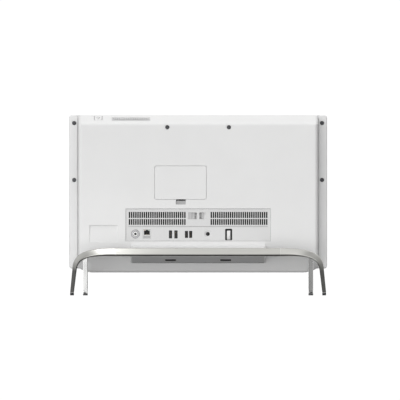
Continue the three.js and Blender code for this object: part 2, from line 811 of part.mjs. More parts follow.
function coldPlate() {
  const plate = box([-88, -32], [-22, -19.5], [204, 260]);
  const spreader = box([-78, -42], [-19.6, -15.4], [206, 258]);
  return join(plate, spreader);
}

function memoryModule(lowZ) {
  const board = box([2.5, 70.1], [-19.2, -18], [lowZ, lowZ + 30]);
  const chips = [0, 1, 2, 3].map((i) => box([7 + 16 * i, 19 + 16 * i], [-18.1, -16.6], [lowZ + 9, lowZ + 23]));
  const socket = box([0.5, 72], [-25, -19.1], [lowZ - 1, lowZ + 4]);
  return join(board, socket, ...chips);
}

function hardDrive() {
  const body = alongY(roundedRectangle([-228, -158], [196, 296], 2), [-24, -14.5], 2);
  const lid = box([-225, -161], [-14.6, -14], [199, 285]);
  return join(body, lid);
}

function speaker() {
  const body = box([132, 224], [-39.6, -33], [63, 80]);
  const cone = diskY(6, 178, 71.5, [-33.1, -32.4], 16);
  return join(body, cone);
}

function screw() {
  const profile = [
    [0, -9],
    [1.3, -9],
    [1.7, -8.4],
    [1.7, -1.4],
    [4.2, -1.4],
    [4.2, -0.7],
    [3.2, -0.15],
    [0, 0],
  ];
  const turned = toSolid(
    new THREE.LatheGeometry(
      profile.map(([r, y]) => new THREE.Vector2(r, y)),
      14,
    ),
  );
  const slot = 0.45;
  return cut(
    turned,
    box([-2.3, 2.3], [-1, 1], [-slot, slot]),
    box([-slot, slot], [-1, 1], [-2.3, 2.3]),
  );
}

function powerButton() {
  const { halfX, halfY } = POWER;
  const cap = alongZ(roundedRectangle([-halfX, halfX], [-halfY, halfY], 1), [-3.4, 0.6], 2);
  const flange = box([-halfX - 1.5, halfX + 1.5], [-halfY, halfY], [-4.3, -3.3]);
  return join(cap, flange);
}

function switchBoard() {
  const board = box([-12, 12], [-6, 6], [-8, -6.8]);
  return join(board, box([-3, 3], [-3, 3], [-6.9, -5.6]));
}

function topGrille() {
  const { halfX, halfY } = TOP_VENT;
  const plate = box([-halfX + GAP, halfX - GAP], [-halfY + GAP, halfY - GAP], [-3.4, -0.8]);
  const slots = [];
  for (let i = 0; i < 14; i++) {
    const x = (i - 6.5) * 5.4;
    slots.push(box([x - 1.5, x + 1.5], [-6, 6], [-4, 0]));
  }
  return cut(plate, ...slots);
}

// ---------------------------------------------------------------- display assembly

place(display, "rear_cover", rearCover(), WHITE);
place(display, "memory_hatch", memoryHatch(), WHITE);
place(display, "io_panel", portPanel(), WHITE);
place(display, "bracket_cover", bracketCover(), WHITE);
place(display, "front_frame", frontFrame(), WHITE);
place(display, "front_glass", frontGlass(), BLACK);
place(
  display,
  "lcd_panel",
  box([-SCREEN.half, SCREEN.half], [-39.7, -33], [SCREEN.bottom, SCREEN.top]),
  BLACK,
);
place(display, "camera_module", cameraModule(), BLACK);
place(display, "chassis_plate", chassisPlate(), STEEL);
placePair(display, "hinge_bracket", hingeBracket(), STEEL);
placePair(display, "speaker", speaker(), BLACK);

place(display, "mainboard", box([-150, 142], BOARD_Y, [114, 276]), BOARD_GREEN);
place(display, "cpu_cold_plate", coldPlate(), COPPER);
place(display, "heat_pipe", heatPipe(), COPPER);
place(display, "fin_stack", finStack(), STEEL);
place(display, "fan_housing", fanHousing(), BLACK);
place(display, "fan_impeller", fanImpeller(), BLACK);
place(display, "memory_module_lower", memoryModule(202), BOARD_GREEN);
place(display, "memory_module_upper", memoryModule(234), BOARD_GREEN);
place(display, "hard_drive", hardDrive(), STEEL);
place(display, "wireless_card", box([-130, -100], [-22, -20.8], [182, 212]), BOARD_GREEN);
place(display, "clock_battery", diskY(10, -115, 240, [-24.8, -21.6], 24), STEEL);

place(display, "disc_drive_case", drawerCase([122, 244], DISC.y, DISC.z, 1), STEEL);
place(display, "disc_tray", discTray(), LIGHT_GRAY);
place(display, "disc_hub", discHub(), LIGHT_GRAY);
place(display, "eject_button", ejectButton(), LIGHT_GRAY);

place(display, "antenna_jack", antennaJack(), STEEL);
place(display, "lan_jack", lanJack(), LIGHT_GRAY);
for (const port of USB) place(display, port.name, usbPort(port), STEEL);
place(display, "power_inlet", powerInlet(), BLACK);
place(display, "cable_hook", cableHook(), WHITE);

for (const [name, shape, material, spot] of [
  ["power_button", powerButton(), WHITE, POWER],
  ["switch_board", switchBoard(), BOARD_GREEN, POWER],
  ["top_grille", topGrille(), LIGHT_GRAY, TOP_VENT],
]) {
  place(display, name, shape, material).applyMatrix4(spot.frame);
}

const screwGeometry = toGeometry(screw());
const screwSpots = [
  ...COVER_SCREWS.map(([x, z]) => [x, BACK_Y - 0.1, z]),
  ...WING_SCREWS.map(([x, z]) => [x, SEAM_Y - GAP - 0.1, z]),
];
screwSpots.forEach((spot, i) => {
  place(display, `case_screw_${i + 1}`, screwGeometry, STEEL).position.set(...spot);
});

const computer = new THREE.Group();
computer.add(stand, display);

export default computer;
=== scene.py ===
"""Looks for the all-in-one PC: smooth metal stand, satin plastic shells and detailed ports.

Shapes are worked out in millimetres and placed in metres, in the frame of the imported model:
+Z up, -Y out of the screen, +Y out of the back, +X towards the user's right.
"""

import json
import math

import bmesh
import bpy
from mathutils import Matrix, Vector


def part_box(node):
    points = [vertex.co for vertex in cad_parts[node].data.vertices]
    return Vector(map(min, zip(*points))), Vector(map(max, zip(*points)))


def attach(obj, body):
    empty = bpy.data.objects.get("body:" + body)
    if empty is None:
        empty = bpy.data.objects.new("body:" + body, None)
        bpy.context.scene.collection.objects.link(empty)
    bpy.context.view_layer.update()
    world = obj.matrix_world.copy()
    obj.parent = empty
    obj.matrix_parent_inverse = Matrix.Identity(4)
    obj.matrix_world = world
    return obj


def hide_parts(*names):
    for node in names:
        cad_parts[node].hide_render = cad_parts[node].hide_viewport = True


MM = 0.001
WELD = 2e-6  # points closer than this, in metres, become one
SHARP = math.radians(36.0)  # edges that bend more than this stay sharp
RIM_TURN = 72  # degrees that the rounded rim of a cutter turns through

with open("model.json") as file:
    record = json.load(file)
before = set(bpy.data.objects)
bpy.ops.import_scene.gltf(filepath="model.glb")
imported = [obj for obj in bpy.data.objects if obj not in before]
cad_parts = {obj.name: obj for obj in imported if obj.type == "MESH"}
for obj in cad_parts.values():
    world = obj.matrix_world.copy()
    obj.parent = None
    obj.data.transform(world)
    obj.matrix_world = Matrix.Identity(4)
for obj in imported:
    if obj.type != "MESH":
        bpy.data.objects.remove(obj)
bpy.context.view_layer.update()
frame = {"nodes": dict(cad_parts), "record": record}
NODES = frame["nodes"]


# ---------------------------------------------------------------- shader helpers


class Shader:
    """A Principled material that is built node by node."""

    def __init__(self, name, color, roughness, metallic=0.0):
        self.material = bpy.data.materials.new(name)
        self.material.use_nodes = True
        self.tree = self.material.node_tree
        self.surface = self.tree.nodes["Principled BSDF"]
        self.set("Base Color", (*color, 1.0))
        self.set("Roughness", roughness)
        self.set("Metallic", metallic)
        self.color = color
        self.roughness = roughness

    def set(self, socket, value):
        self.surface.inputs[socket].default_value = value

    def node(self, kind, **inputs):
        made = self.tree.nodes.new(kind)
        for socket, value in inputs.items():
            made.inputs[socket.replace("_", " ")].default_value = value
        return made

    def link(self, source, target):
        self.tree.links.new(source, target)

    def coordinates(self, stretch=(1, 1, 1)):
        place = self.node("ShaderNodeTexCoord")
        mapping = self.node("ShaderNodeMapping", Scale=stretch)
        self.link(place.outputs["Object"], mapping.inputs["Vector"])
        return mapping.outputs["Vector"]

    def axis(self, name):
        split = self.node("ShaderNodeSeparateXYZ")
        self.link(self.coordinates(), split.inputs["Vector"])
        return split.outputs[name]

    def noise(self, scale, detail=3.0, stretch=(1, 1, 1)):
        made = self.node("ShaderNodeTexNoise", Scale=scale, Detail=detail)
        self.link(self.coordinates(stretch), made.inputs["Vector"])
        return made.outputs["Fac"]

    def math(self, operation, first, second):
        made = self.node("ShaderNodeMath")
        made.operation = operation
        for socket, value in zip(made.inputs, (first, second)):
            if isinstance(value, (int, float)):
                socket.default_value = value
            else:
                self.link(value, socket)
        return made.outputs["Value"]

    def remap(self, source, low, high, from_low=0.35, from_high=0.65):
        made = self.node("ShaderNodeMapRange")
        values = {"From Min": from_low, "From Max": from_high, "To Min": low, "To Max": high}
        for socket, value in values.items():
            made.inputs[socket].default_value = value
        self.link(source, made.inputs["Value"])
        return made.outputs["Result"]

    def blend(self, factor, first, second):
        made = self.node("ShaderNodeMix")
        made.data_type = "RGBA"
        for socket, value in (("A", first), ("B", second)):
            if isinstance(value, tuple):
                made.inputs[socket].default_value = (*value, 1.0)
            else:
                self.link(value, made.inputs[socket])
        self.link(factor, made.inputs["Factor"])
        return made.outputs["Result"]

    def paint(self, source):
        self.link(source, self.surface.inputs["Base Color"])

    def vary_color(self, scale, amount, stretch=(1, 1, 1)):
        darker = tuple(c * (1 - amount) for c in self.color)
        lighter = tuple(min(1.0, c * (1 + amount)) for c in self.color)
        factor = self.remap(self.noise(scale, 4.0, stretch), 0.0, 1.0)
        self.paint(self.blend(factor, darker, lighter))

    def vary_roughness(self, scale, amount, stretch=(1, 1, 1)):
        spread = self.remap(
            self.noise(scale, 3.0, stretch), self.roughness - amount, self.roughness + amount
        )
        self.link(spread, self.surface.inputs["Roughness"])

    def bump(self, source, height, strength=1.0):
        made = self.node("ShaderNodeBump", Strength=strength, Distance=height)
        self.link(source, made.inputs["Height"])
        normal = self.surface.inputs["Normal"]
        if normal.is_linked:
            self.link(normal.links[0].from_socket, made.inputs["Normal"])
        self.link(made.outputs["Normal"], normal)


# ---------------------------------------------------------------- materials


def satin_plastic(name, color, roughness=0.42, grain=0.00002):
    """Moulded plastic: faint flow marks, uneven sheen and a fine spark-eroded grain."""
    shader = Shader(name, color, roughness)
    shader.vary_color(14.0, 0.01)
    shader.vary_roughness(40.0, 0.05)
    shader.bump(shader.noise(2600.0, 2.0), grain)
    shader.bump(shader.noise(700.0, 2.0), grain * 0.7)
    shader.set("Specular IOR Level", 0.45)
    return shader.material


def brushed(name, color, roughness, stretch):
    shader = Shader(name, color, roughness, metallic=1.0)
    shader.vary_color(30.0, 0.03, stretch)
    shader.vary_roughness(160.0, 0.06, stretch)
    shader.bump(shader.noise(900.0, 3.0, stretch), 0.000012)
    return shader


def brushed_metal(*look):
    return brushed(*look).material


def rubber(name, color):
    shader = Shader(name, color, 0.75)
    shader.vary_color(60.0, 0.08)
    shader.bump(shader.noise(1400.0, 4.0), 0.00006)
    shader.set("Specular IOR Level", 0.15)
    return shader.material


def circuit_board(name):
    """Green mask with fine copper runs under it."""
    shader = Shader(name, (0.012, 0.09, 0.045), 0.38)
    lanes = shader.node("ShaderNodeTexBrick", Scale=90.0, Mortar_Size=0.012, Brick_Width=0.9)
    lanes.inputs["Color1"].default_value = (0.012, 0.09, 0.045, 1)
    lanes.inputs["Color2"].default_value = (0.016, 0.115, 0.055, 1)
    lanes.inputs["Mortar"].default_value = (0.05, 0.17, 0.08, 1)
    turn = shader.node("ShaderNodeMapping", Rotation=(math.pi / 2, 0, 0))
    shader.link(shader.coordinates(), turn.inputs["Vector"])
    shader.link(turn.outputs["Vector"], lanes.inputs["Vector"])
    shader.paint(lanes.outputs["Color"])
    shader.bump(shader.noise(700.0, 2.0), 0.00003)
    return shader.material


def woven_filter(name):
    """Dust filter of two crossing sets of threads. Its near-black colour is painted shade for the dark
    inside behind the vent slots.
    """
    shader = Shader(name, (0.01, 0.01, 0.011), 0.85)
    threads = []
    for direction in ("X", "Z"):
        wave = shader.node("ShaderNodeTexWave", Scale=320.0)
        wave.bands_direction = direction
        shader.link(shader.coordinates(), wave.inputs["Vector"])
        threads.append(wave.outputs["Fac"])
    weave = shader.math("MAXIMUM", *threads)
    shader.paint(shader.blend(weave, (0.004, 0.004, 0.004), (0.018, 0.018, 0.019)))
    shader.bump(weave, 0.0001)
    return shader.material


def black_glass(name):
    """Cover glass over the switched-off screen: the active area is a shade lighter."""
    shader = Shader(name, (0.004, 0.004, 0.005), 0.07)
    shader.set("Specular IOR Level", 0.5)
    mask = 1.0
    for axis, low, high in (("X", -0.2385, 0.2385), ("Z", 0.0885, 0.3565)):
        place = shader.axis(axis)
        for edge, sign in ((low, 1), (high, -1)):
            side = shader.remap(place, 0.0, 1.0, edge, edge + sign * 0.0006)
            mask = shader.math("MULTIPLY", side, mask)
    shader.paint(shader.blend(mask, (0.003, 0.003, 0.0035), (0.010, 0.011, 0.013)))
    shader.vary_roughness(9.0, 0.02)
    return shader.material


def clear_plastic(name, color):
    """Small moulded windows over lamps that are off."""
    shader = Shader(name, color, 0.2)
    shader.vary_color(300.0, 0.15)
    shader.set("Coat Weight", 0.5)
    return shader.material


def bend_metal(name, color, dark_below, dark_above, amount):
    """Satin metal of the bends, with painted shade: its colour darkens towards the floor, standing in for
    the dark reflection on the rear legs.
    """
    shader = brushed(name, color, 0.34, (0.3, 1, 0.6))
    plain = shader.surface.inputs["Base Color"].links[0].from_socket
    # Painted shade: between these heights the colour blends down to a darker copy.
    height = shader.remap(shader.axis("Z"), 1.0, 0.0, dark_below, dark_above)
    shader.paint(shader.blend(height, plain, tuple(c * amount for c in color)))
    return shader.material


WHITE = satin_plastic("white_shell", (0.8, 0.8, 0.797))
FRAME_WHITE = satin_plastic("white_front_frame", (0.79, 0.79, 0.788), 0.4)
# A darker copy of the shell white: painted shade for the recessed port basin and the sockets in it.
SHADED_PORT_WHITE = satin_plastic("white_port_panel_painted_shade", (0.7, 0.7, 0.698), 0.48)
LIGHT_GRAY = satin_plastic("light_gray_plastic", (0.5, 0.5, 0.5), 0.5)
PAD_GRAY = satin_plastic("pad_gray_plastic", (0.42, 0.42, 0.42), 0.55)
DARK_GRAY = satin_plastic("dark_gray_plastic", (0.045, 0.046, 0.05), 0.5, 0.00004)
BLACK_PLASTIC = satin_plastic("black_plastic", (0.012, 0.012, 0.013), 0.5, 0.00004)
BAR_METAL = brushed_metal("satin_metal_bar", (0.42, 0.418, 0.396), 0.34, (0.06, 1, 1))
# The bends carry painted shade: darker towards the floor.
BEND_METAL = bend_metal("satin_metal_bend_painted_shade", (0.47, 0.468, 0.446), 0.05, 0.085, 0.22)
LEG_METAL = brushed_metal("satin_metal_leg", (0.93, 0.93, 0.92), 0.22, (1, 0.1, 0.2))
STEEL = brushed_metal("plain_steel", (0.3, 0.3, 0.305), 0.38, (1, 0.2, 1))
SCREW_STEEL = brushed_metal("screw_steel", (0.09, 0.09, 0.095), 0.45, (1, 1, 1))
SHELL_STEEL = brushed_metal("connector_shell", (0.5, 0.5, 0.51), 0.3, (1, 0.1, 1))
COPPER = brushed_metal("bare_copper", (0.72, 0.36, 0.22), 0.32, (0.4, 1, 1))
DARK_STEEL = brushed_metal("dark_connector_shell", (0.1, 0.1, 0.105), 0.4, (1, 0.1, 1))
BRIGHT_METAL = brushed_metal("nickel_barrel", (0.5, 0.5, 0.495), 0.3, (1, 0.1, 1))
# Painted shade for the bracket's underside.
UNDERSIDE_PAINTED_SHADE = satin_plastic("gray_underside_painted_shade", (0.56, 0.56, 0.56), 0.5)
GRILLE_GRAY = satin_plastic("pale_gray_grille", (0.68, 0.68, 0.68), 0.5)
GOLD = brushed_metal("gold_contact", (0.83, 0.6, 0.25), 0.28, (1, 0.3, 1))
RUBBER = rubber("dark_rubber", (0.05, 0.05, 0.052))
# Near-black stand-in for the shade inside the arm slots.
PAINTED_SHADE_BLACK = rubber("painted_shade_black", (0.005, 0.005, 0.005))
BOARD = circuit_board("circuit_board")
VENT_SHADE_FILTER = woven_filter("dust_filter_painted_shade")
GLASS = black_glass("screen_glass")
LENS = clear_plastic("lens_glass", (0.004, 0.005, 0.012))
AMBER = clear_plastic("amber_window", (0.5, 0.2, 0.02))
GREEN = clear_plastic("green_window", (0.05, 0.3, 0.06))

MATERIAL_OF_SLOT = {
    "white_plastic": WHITE,
    "front_frame_plastic": FRAME_WHITE,
    "light_gray_plastic": LIGHT_GRAY,
    "black_plastic": BLACK_PLASTIC,
    "black_glass": GLASS,
    "screen": BLACK_PLASTIC,
    "satin_metal": BAR_METAL,
    "leg_metal": LEG_METAL,
    "steel": STEEL,
    "screw_steel": SCREW_STEEL,
    "connector_steel": SHELL_STEEL,
    "copper": COPPER,
    "circuit_board": BOARD,
    "rubber": RUBBER,
}


def dress_cad_nodes():
    """Materials and clean shading for the CAD nodes that stay."""
    for row in frame["record"]["subparts"]:
        thing = NODES[row["node"]]
        thing.data.materials.clear()
        thing.data.materials.append(MATERIAL_OF_SLOT[row["material_slot"]])
        for face in thing.data.polygons:
            face.use_smooth = True
            face.material_index = 0
        weld = thing.modifiers.new("weld", "WELD")
        weld.merge_threshold = 10 * WELD
        flat = thing.modifiers.new("flat", "DECIMATE")
        flat.decimate_type = "DISSOLVE"
        flat.angle_limit = math.radians(0.5)
        even = thing.modifiers.new("even", "WEIGHTED_NORMAL")
        even.keep_sharp = True


# ---------------------------------------------------------------- solids


def facing_back(x, y, z):
    """Local u goes along X, v up, and w out of the back."""
    return Matrix(((MM, 0, 0, x * MM), (0, 0, MM, y * MM), (0, MM, 0, z * MM), (0, 0, 0, 1)))


def facing_side(x, y, z):
    """Local u goes along Y, v up, and w towards +X."""
    return Matrix(((0, 0, MM, x * MM), (MM, 0, 0, y * MM), (0, MM, 0, z * MM), (0, 0, 0, 1)))


def facing_up(x, y, z):
    return Matrix(((MM, 0, 0, x * MM), (0, MM, 0, y * MM), (0, 0, MM, z * MM), (0, 0, 0, 1)))


def around(middle, half):
    return (middle - half, middle + half)


def grow(span, by):
    return (span[0] - by, span[1] + by)


def center(span):
    return (span[0] + span[1]) / 2


def half_of(span):
    return (span[1] - span[0]) / 2


def solid(rings, closed=False):
    """Skin over rings of points that all have the same count, capped unless it closes on itself."""
    shape = bmesh.new()
    loops = [[shape.verts.new(point) for point in ring] for ring in rings]
    pairs = list(zip(loops, loops[1:]))
    if closed:
        pairs.append((loops[-1], loops[0]))
    for low, high in pairs:
        for i in range(len(low)):
            j = (i + 1) % len(low)
            shape.faces.new((low[i], low[j], high[j], high[i]))
    if not closed:
        shape.faces.new(loops[0][::-1])
        shape.faces.new(loops[-1])
    return shape


def prism(outline, levels, place):
    """A solid whose section is outline(growth) at each (w, growth) level."""
    return solid([[place @ Vector((u, v, w)) for u, v in outline(growth)] for w, growth in levels])


def lathe(profile, place, steps=40, closed=False):
    """Turns (radius, w) points round the local w axis."""
    turns = [2 * math.pi * step / steps for step in range(steps)]
    rings = []
    for radius, w in profile:
        rings.append([place @ Vector((radius * math.cos(a), radius * math.sin(a), w)) for a in turns])
    return solid(rings, closed)


def rounded_rectangle(half_u, half_v, radius, steps=5):
    """Outline maker for a rounded rectangle around the local origin."""

    def outline(growth):
        hu, hv = half_u + growth, half_v + growth
        r = max(min(radius + growth, hu * 0.98, hv * 0.98), 0.02)
        points = []
        centers = ((hu - r, hv - r), (r - hu, hv - r), (r - hu, r - hv), (hu - r, r - hv))
        for quarter, (u, v) in enumerate(centers):
            for step in range(steps + 1):
                angle = math.pi / 2 * (quarter + step / steps)
                points.append((u + r * math.cos(angle), v + r * math.sin(angle)))
        return points

    return outline


def circle(radius, steps=40):
    def outline(growth):
        angles = [2 * math.pi * step / steps for step in range(steps)]
        return [((radius + growth) * math.cos(a), (radius + growth) * math.sin(a)) for a in angles]

    return outline


def quarter_turn(steps):
    return [math.pi / 2 * step / steps for step in range(steps + 1)]


def cut_levels(depth, rim, steps=4, over=0.3):
    """Levels of a cutter that goes down to depth and leaves a rounded rim at w = 0."""
    levels = [(-depth, 0.0)]
    for step in range(steps + 1):
        angle = math.radians(RIM_TURN * step / steps)
        levels.append((-rim * (1 - math.sin(angle)), rim * (1 - math.cos(angle))))
    last_w, last_growth = levels[-1]
    levels.append((over, last_growth + (over - last_w) * math.tan(math.radians(RIM_TURN))))
    return levels


def plate_levels(low, high, edge, steps=4):
    """Levels of a plate whose upper edge is rounded."""
    levels = [(low, 0.0)]
    for angle in quarter_turn(steps):
        levels.append((high - edge * (1 - math.sin(angle)), -edge * (1 - math.cos(angle))))
    return levels


def block(x, y, z, edge=0.3, corner=0.4):
    """A box from its ranges, with rounded edges on its back face and along Y."""
    outline = rounded_rectangle(half_of(x), half_of(z), corner)
    return prism(outline, plate_levels(*y, edge), facing_back(center(x), 0, center(z)))


def hole(x, z, surface, depth, rim=0.3, corner=0.4):
    """A cutter for a rounded rectangular hole in a face at y = surface."""
    outline = rounded_rectangle(half_of(x), half_of(z), corner)
    return prism(outline, cut_levels(depth, rim), facing_back(center(x), surface, center(z)))


def round_hole(x, z, surface, radius, depth, rim=0.3):
    return prism(circle(radius), cut_levels(depth, rim), facing_back(x, surface, z))


def rod(x, z, radius, y):
    """A plain round post from its depth range."""
    return prism(circle(radius), [(y[0], 0), (y[1], 0)], facing_back(x, 0, z))


def join(*shapes):
    """Several separate solids as one bmesh."""
    whole = bmesh.new()
    for shape in shapes:
        mesh = bpy.data.meshes.new("part")
        shape.to_mesh(mesh)
        shape.free()
        whole.from_mesh(mesh)
        bpy.data.meshes.remove(mesh)
    return whole


def add_object(name, shape):
    mesh = bpy.data.meshes.new(name)
    shape.to_mesh(mesh)
    shape.free()
    thing = bpy.data.objects.new(name, mesh)
    bpy.context.scene.collection.objects.link(thing)
    return thing


def work_object(shape):
    bmesh.ops.recalc_face_normals(shape, faces=shape.faces)
    return add_object("work", shape)


def combine(operation, shape, tools):
    """Exact booleans, one tool after the other. Returns a new bmesh."""
    base = work_object(shape)
    others = [work_object(tool) for tool in tools]
    for other in others:
        step = base.modifiers.new("step", "BOOLEAN")
        step.operation = operation
        step.solver = "EXACT"
        step.object = other
    result = bmesh.new()
    result.from_object(base, bpy.context.evaluated_depsgraph_get())
    for thing in (base, *others):
        mesh = thing.data
        bpy.data.objects.remove(thing)
        bpy.data.meshes.remove(mesh)
    bmesh.ops.remove_doubles(result, verts=result.verts, dist=WELD)
    bmesh.ops.dissolve_degenerate(result, edges=result.edges, dist=WELD)
    return result


def cut(shape, *tools):
    return combine("DIFFERENCE", shape, tools)


def unite(shape, *tools):
    return combine("UNION", shape, tools)


def piece(name, shape, material, body="display", replaces=()):
    """Turns a bmesh into a named piece with clean shading."""
    bmesh.ops.recalc_face_normals(shape, faces=shape.faces)
    for face in shape.faces:
        face.smooth = True
    for edge in shape.edges:
        edge.smooth = edge.calc_face_angle(0.0) < SHARP
    thing = add_object(name, shape)
    thing.data.materials.append(material)
    even = thing.modifiers.new("even", "WEIGHTED_NORMAL")
    even.keep_sharp = True
    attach(thing, body)
    if replaces:
        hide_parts(*replaces)
    return thing


# ---------------------------------------------------------------- the metal stand

SIDES = (("right", 1), ("left", -1))
OUTER_EDGE = ((170.0, 97.9), (232.0, 98.0), (256.0, 88.0), (259.5, 58.0))
INNER_EDGE = ((170.0, 81.0), (222.0, 82.5), (247.5, 79.0), (250.8, 52.0))
LEAN = (43.2, 43.0, 40.5, 66.0)
REAR_LEG = {"outer": 264.5, "inner": 256.4, "z": 5.9, "y": 93.0}
BAR_STEPS = 24
BAR_HALF_DEPTH = 4.0
LEG_HALF_DEPTH = 6.0
SEAM_GAP = 0.25  # between the bar and each bend
BEND_TURN = 0.4
REAR_LEG_TURN = 0.15
LEG_X = 232.9
LEG_TURN = 0.7
LEG_GAP = 0.3  # between a front leg and the bow above it
SLEEVE_GROOVES = (0.05, 0.105)
GROOVE_PROFILE = ((-0.012, 0.0), (-0.008, 0.5), (0.008, 0.5), (0.012, 0.0))
FRONT_LEG = {"half_x": 5.0, "half_y": 8.0, "top_y": 48.6, "top_half_y": 5.0, "foot_z": 3.3, "foot_y": -87.0}
HINGE = {"x": 57.0, "y": 30.0, "z": 89.5}
BOW_OUTLINE = (
    (-1, -0.8),
    (-0.7, -1),
    (0, -1),
    (0.75, -0.78),
    (1, -0.56),
    (1, -0.3),
    (1, 0.7),
    (1, 0.9),
    (0.8, 1),
    (-0.7, 1),
    (-1, 0.8),
)


def cubic(points, t):
    """A point on a cubic curve. Works on numbers and on vectors."""
    a, b, c, d = points
    s = 1 - t
    return a * s**3 + b * 3 * s * s * t + c * 3 * s * t * t + d * t**3


def quadratic(points, t):
    a, b, c = points
    return a * (1 - t) ** 2 + b * 2 * t * (1 - t) + c * t * t


def soften(outline, steps=6, share=0.32):
    """Rounds each corner of a closed outline."""
    corners = [Vector(corner) for corner in outline]
    points = []
    for i, here in enumerate(corners):
        before = corners[i - 1]
        after = corners[(i + 1) % len(corners)]
        start = here.lerp(before, share)
        end = here.lerp(after, share)
        points += [quadratic((start, here, end), step / (steps - 1)) for step in range(steps)]
    return points


BOW_SECTION = soften(BOW_OUTLINE)


def bow_ring(outer, inner, y, half_depth, mirror=1, turn=0.0):
    """Section of the bow: u runs from front to back, v from its inner to its outer edge.

    A turn above zero makes its back face look outwards.
    """
    middle = (outer + inner) / 2
    reach = (outer - inner) / 2
    ring = []
    for u, v in BOW_SECTION:
        flat = middle + reach * v
        depth = u * half_depth - turn * reach.length * v
        ring.append(Vector((mirror * flat.x, y + depth, flat.y)) * MM)
    return ring


def bow_end_rings(mirror, bend_steps=44, leg_steps=10):
    """The bend, whose turn swells and fades, and then the straight rear leg."""
    rings = []
    outer_curve = [Vector(p) for p in OUTER_EDGE]
    inner_curve = [Vector(p) for p in INNER_EDGE]
    for step in range(bend_steps + 1):
        t = step / bend_steps
        half_depth = BAR_HALF_DEPTH + (LEG_HALF_DEPTH - BAR_HALF_DEPTH) * t**3
        outer = cubic(outer_curve, t)
        inner = cubic(inner_curve, t)
        if step == 0:
            outer.x += SEAM_GAP
            inner.x += SEAM_GAP
        turn = BEND_TURN * math.sin(math.pi * min(1.0, t * 1.15) * 0.8) ** 2
        rings.append(bow_ring(outer, inner, cubic(LEAN, t), half_depth, mirror, turn))
    foot_outer = Vector((REAR_LEG["outer"], REAR_LEG["z"]))
    foot_inner = Vector((REAR_LEG["inner"], REAR_LEG["z"]))
    for step in range(1, leg_steps + 1):
        t = step / leg_steps
        outer = outer_curve[-1].lerp(foot_outer, t)
        inner = inner_curve[-1].lerp(foot_inner, t)
        y = LEAN[-1] + (REAR_LEG["y"] - LEAN[-1]) * t
        rings.append(bow_ring(outer, inner, y, LEG_HALF_DEPTH, mirror, REAR_LEG_TURN * (1 - t)))
    return rings


def make_bow():
    low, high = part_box("bow_center_bar")
    rings = []
    for step in range(BAR_STEPS + 1):
        x = (low.x + (high.x - low.x) * step / BAR_STEPS) / MM
        outer = Vector((x, high.z / MM))
        inner = Vector((x, low.z / MM))
        rings.append(bow_ring(outer, inner, LEAN[0], BAR_HALF_DEPTH))
    piece("bow_middle", solid(rings), BAR_METAL, "stand", ["bow_center_bar"])
    for side, mirror in SIDES:
        bend = solid(bow_end_rings(mirror))
        piece(f"bow_bend_{side}", bend, BEND_METAL, "stand", [f"bow_end_{side}"])


def underside_z(x):
    """Height of the bow's lower edge over the front legs."""
    curve = [Vector(p) for p in INNER_EDGE]
    t = 0.0
    while cubic(curve, t).x < x:
        t += 0.002
    return cubic(curve, t).y


def leg_spots():
    """Share of the height and depth of the groove, for each ring of a front leg."""
    spots = [(0.0, 0.0)]
    for height in SLEEVE_GROOVES:
        spots += [(height + shift, depth) for shift, depth in GROOVE_PROFILE]
    spots += [(0.2 + 0.8 * step / 16, 0.0) for step in range(17)]
    return spots


def make_front_leg(side, mirror):
    foot_y, foot_z = FRONT_LEG["foot_y"], FRONT_LEG["foot_z"]
    middle_rise = underside_z(LEG_X) - LEG_GAP - foot_z
    rings = []
    for t, groove in leg_spots():
        half_y = FRONT_LEG["half_y"] + (FRONT_LEG["top_half_y"] - FRONT_LEG["half_y"]) * t
        ring = []
        for dx, dy in rounded_rectangle(FRONT_LEG["half_x"] - groove, half_y - groove, 1.6)(0):
            rise = underside_z(LEG_X + dx) - LEG_GAP - foot_z
            y = foot_y + (FRONT_LEG["top_y"] - foot_y) * t * rise / middle_rise
            lean = -LEG_TURN * dx if dy > 0 else 0.0
            ring.append(Vector((mirror * (LEG_X + dx), y + dy + lean, foot_z + rise * t)) * MM)
        rings.append(ring)
    piece(f"leg_{side}", solid(rings), LEG_METAL, "stand", [f"front_leg_{side}"])


def make_foot(name, node):
    """Moulded rubber foot with a groove round it and a chamfered sole."""
    low, high = (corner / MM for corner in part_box(node))
    height = high.z - low.z
    groove = height * 0.5
    levels = [(0, -0.5), (0.4, -0.1), (0.5, 0), (groove, 0), (groove + 0.15, -0.35)]
    levels += [(groove + 0.55, -0.35), (groove + 0.7, 0)]
    levels += [(height - 0.4, 0), (height - 0.1, -0.15), (height, -0.4)]
    outline = rounded_rectangle((high.x - low.x) / 2, (high.y - low.y) / 2, 2.0, 6)
    foot = prism(outline, levels, facing_up((low.x + high.x) / 2, (low.y + high.y) / 2, low.z))
    piece(name, foot, RUBBER, "stand", [node])


def make_hinge_washers(side, mirror):
    """Three spring washers on the outer end of each tilt pin."""
    place = facing_side(mirror * HINGE["x"], HINGE["y"], HINGE["z"])
    bore = 3.05
    washers = []
    for reach, radius in ((7.1, 5.2), (7.7, 4.8), (8.3, 5.2)):
        w = mirror * reach
        profile = [(bore, w), (radius - 0.1, w), (radius, w + 0.1), (radius, w + 0.4), (bore, w + 0.5)]
        washers.append(lathe(profile, place, 32, closed=True))
    piece(f"tilt_washers_{side}", join(*washers), STEEL, "stand")


def make_stand():
    make_bow()
    for side, mirror in SIDES:
        make_front_leg(side, mirror)
        make_hinge_washers(side, mirror)
        for end in ("front", "rear"):
            make_foot(f"rubber_{end}_{side}", f"foot_{end}_{side}")


# ---------------------------------------------------------------- rear cover

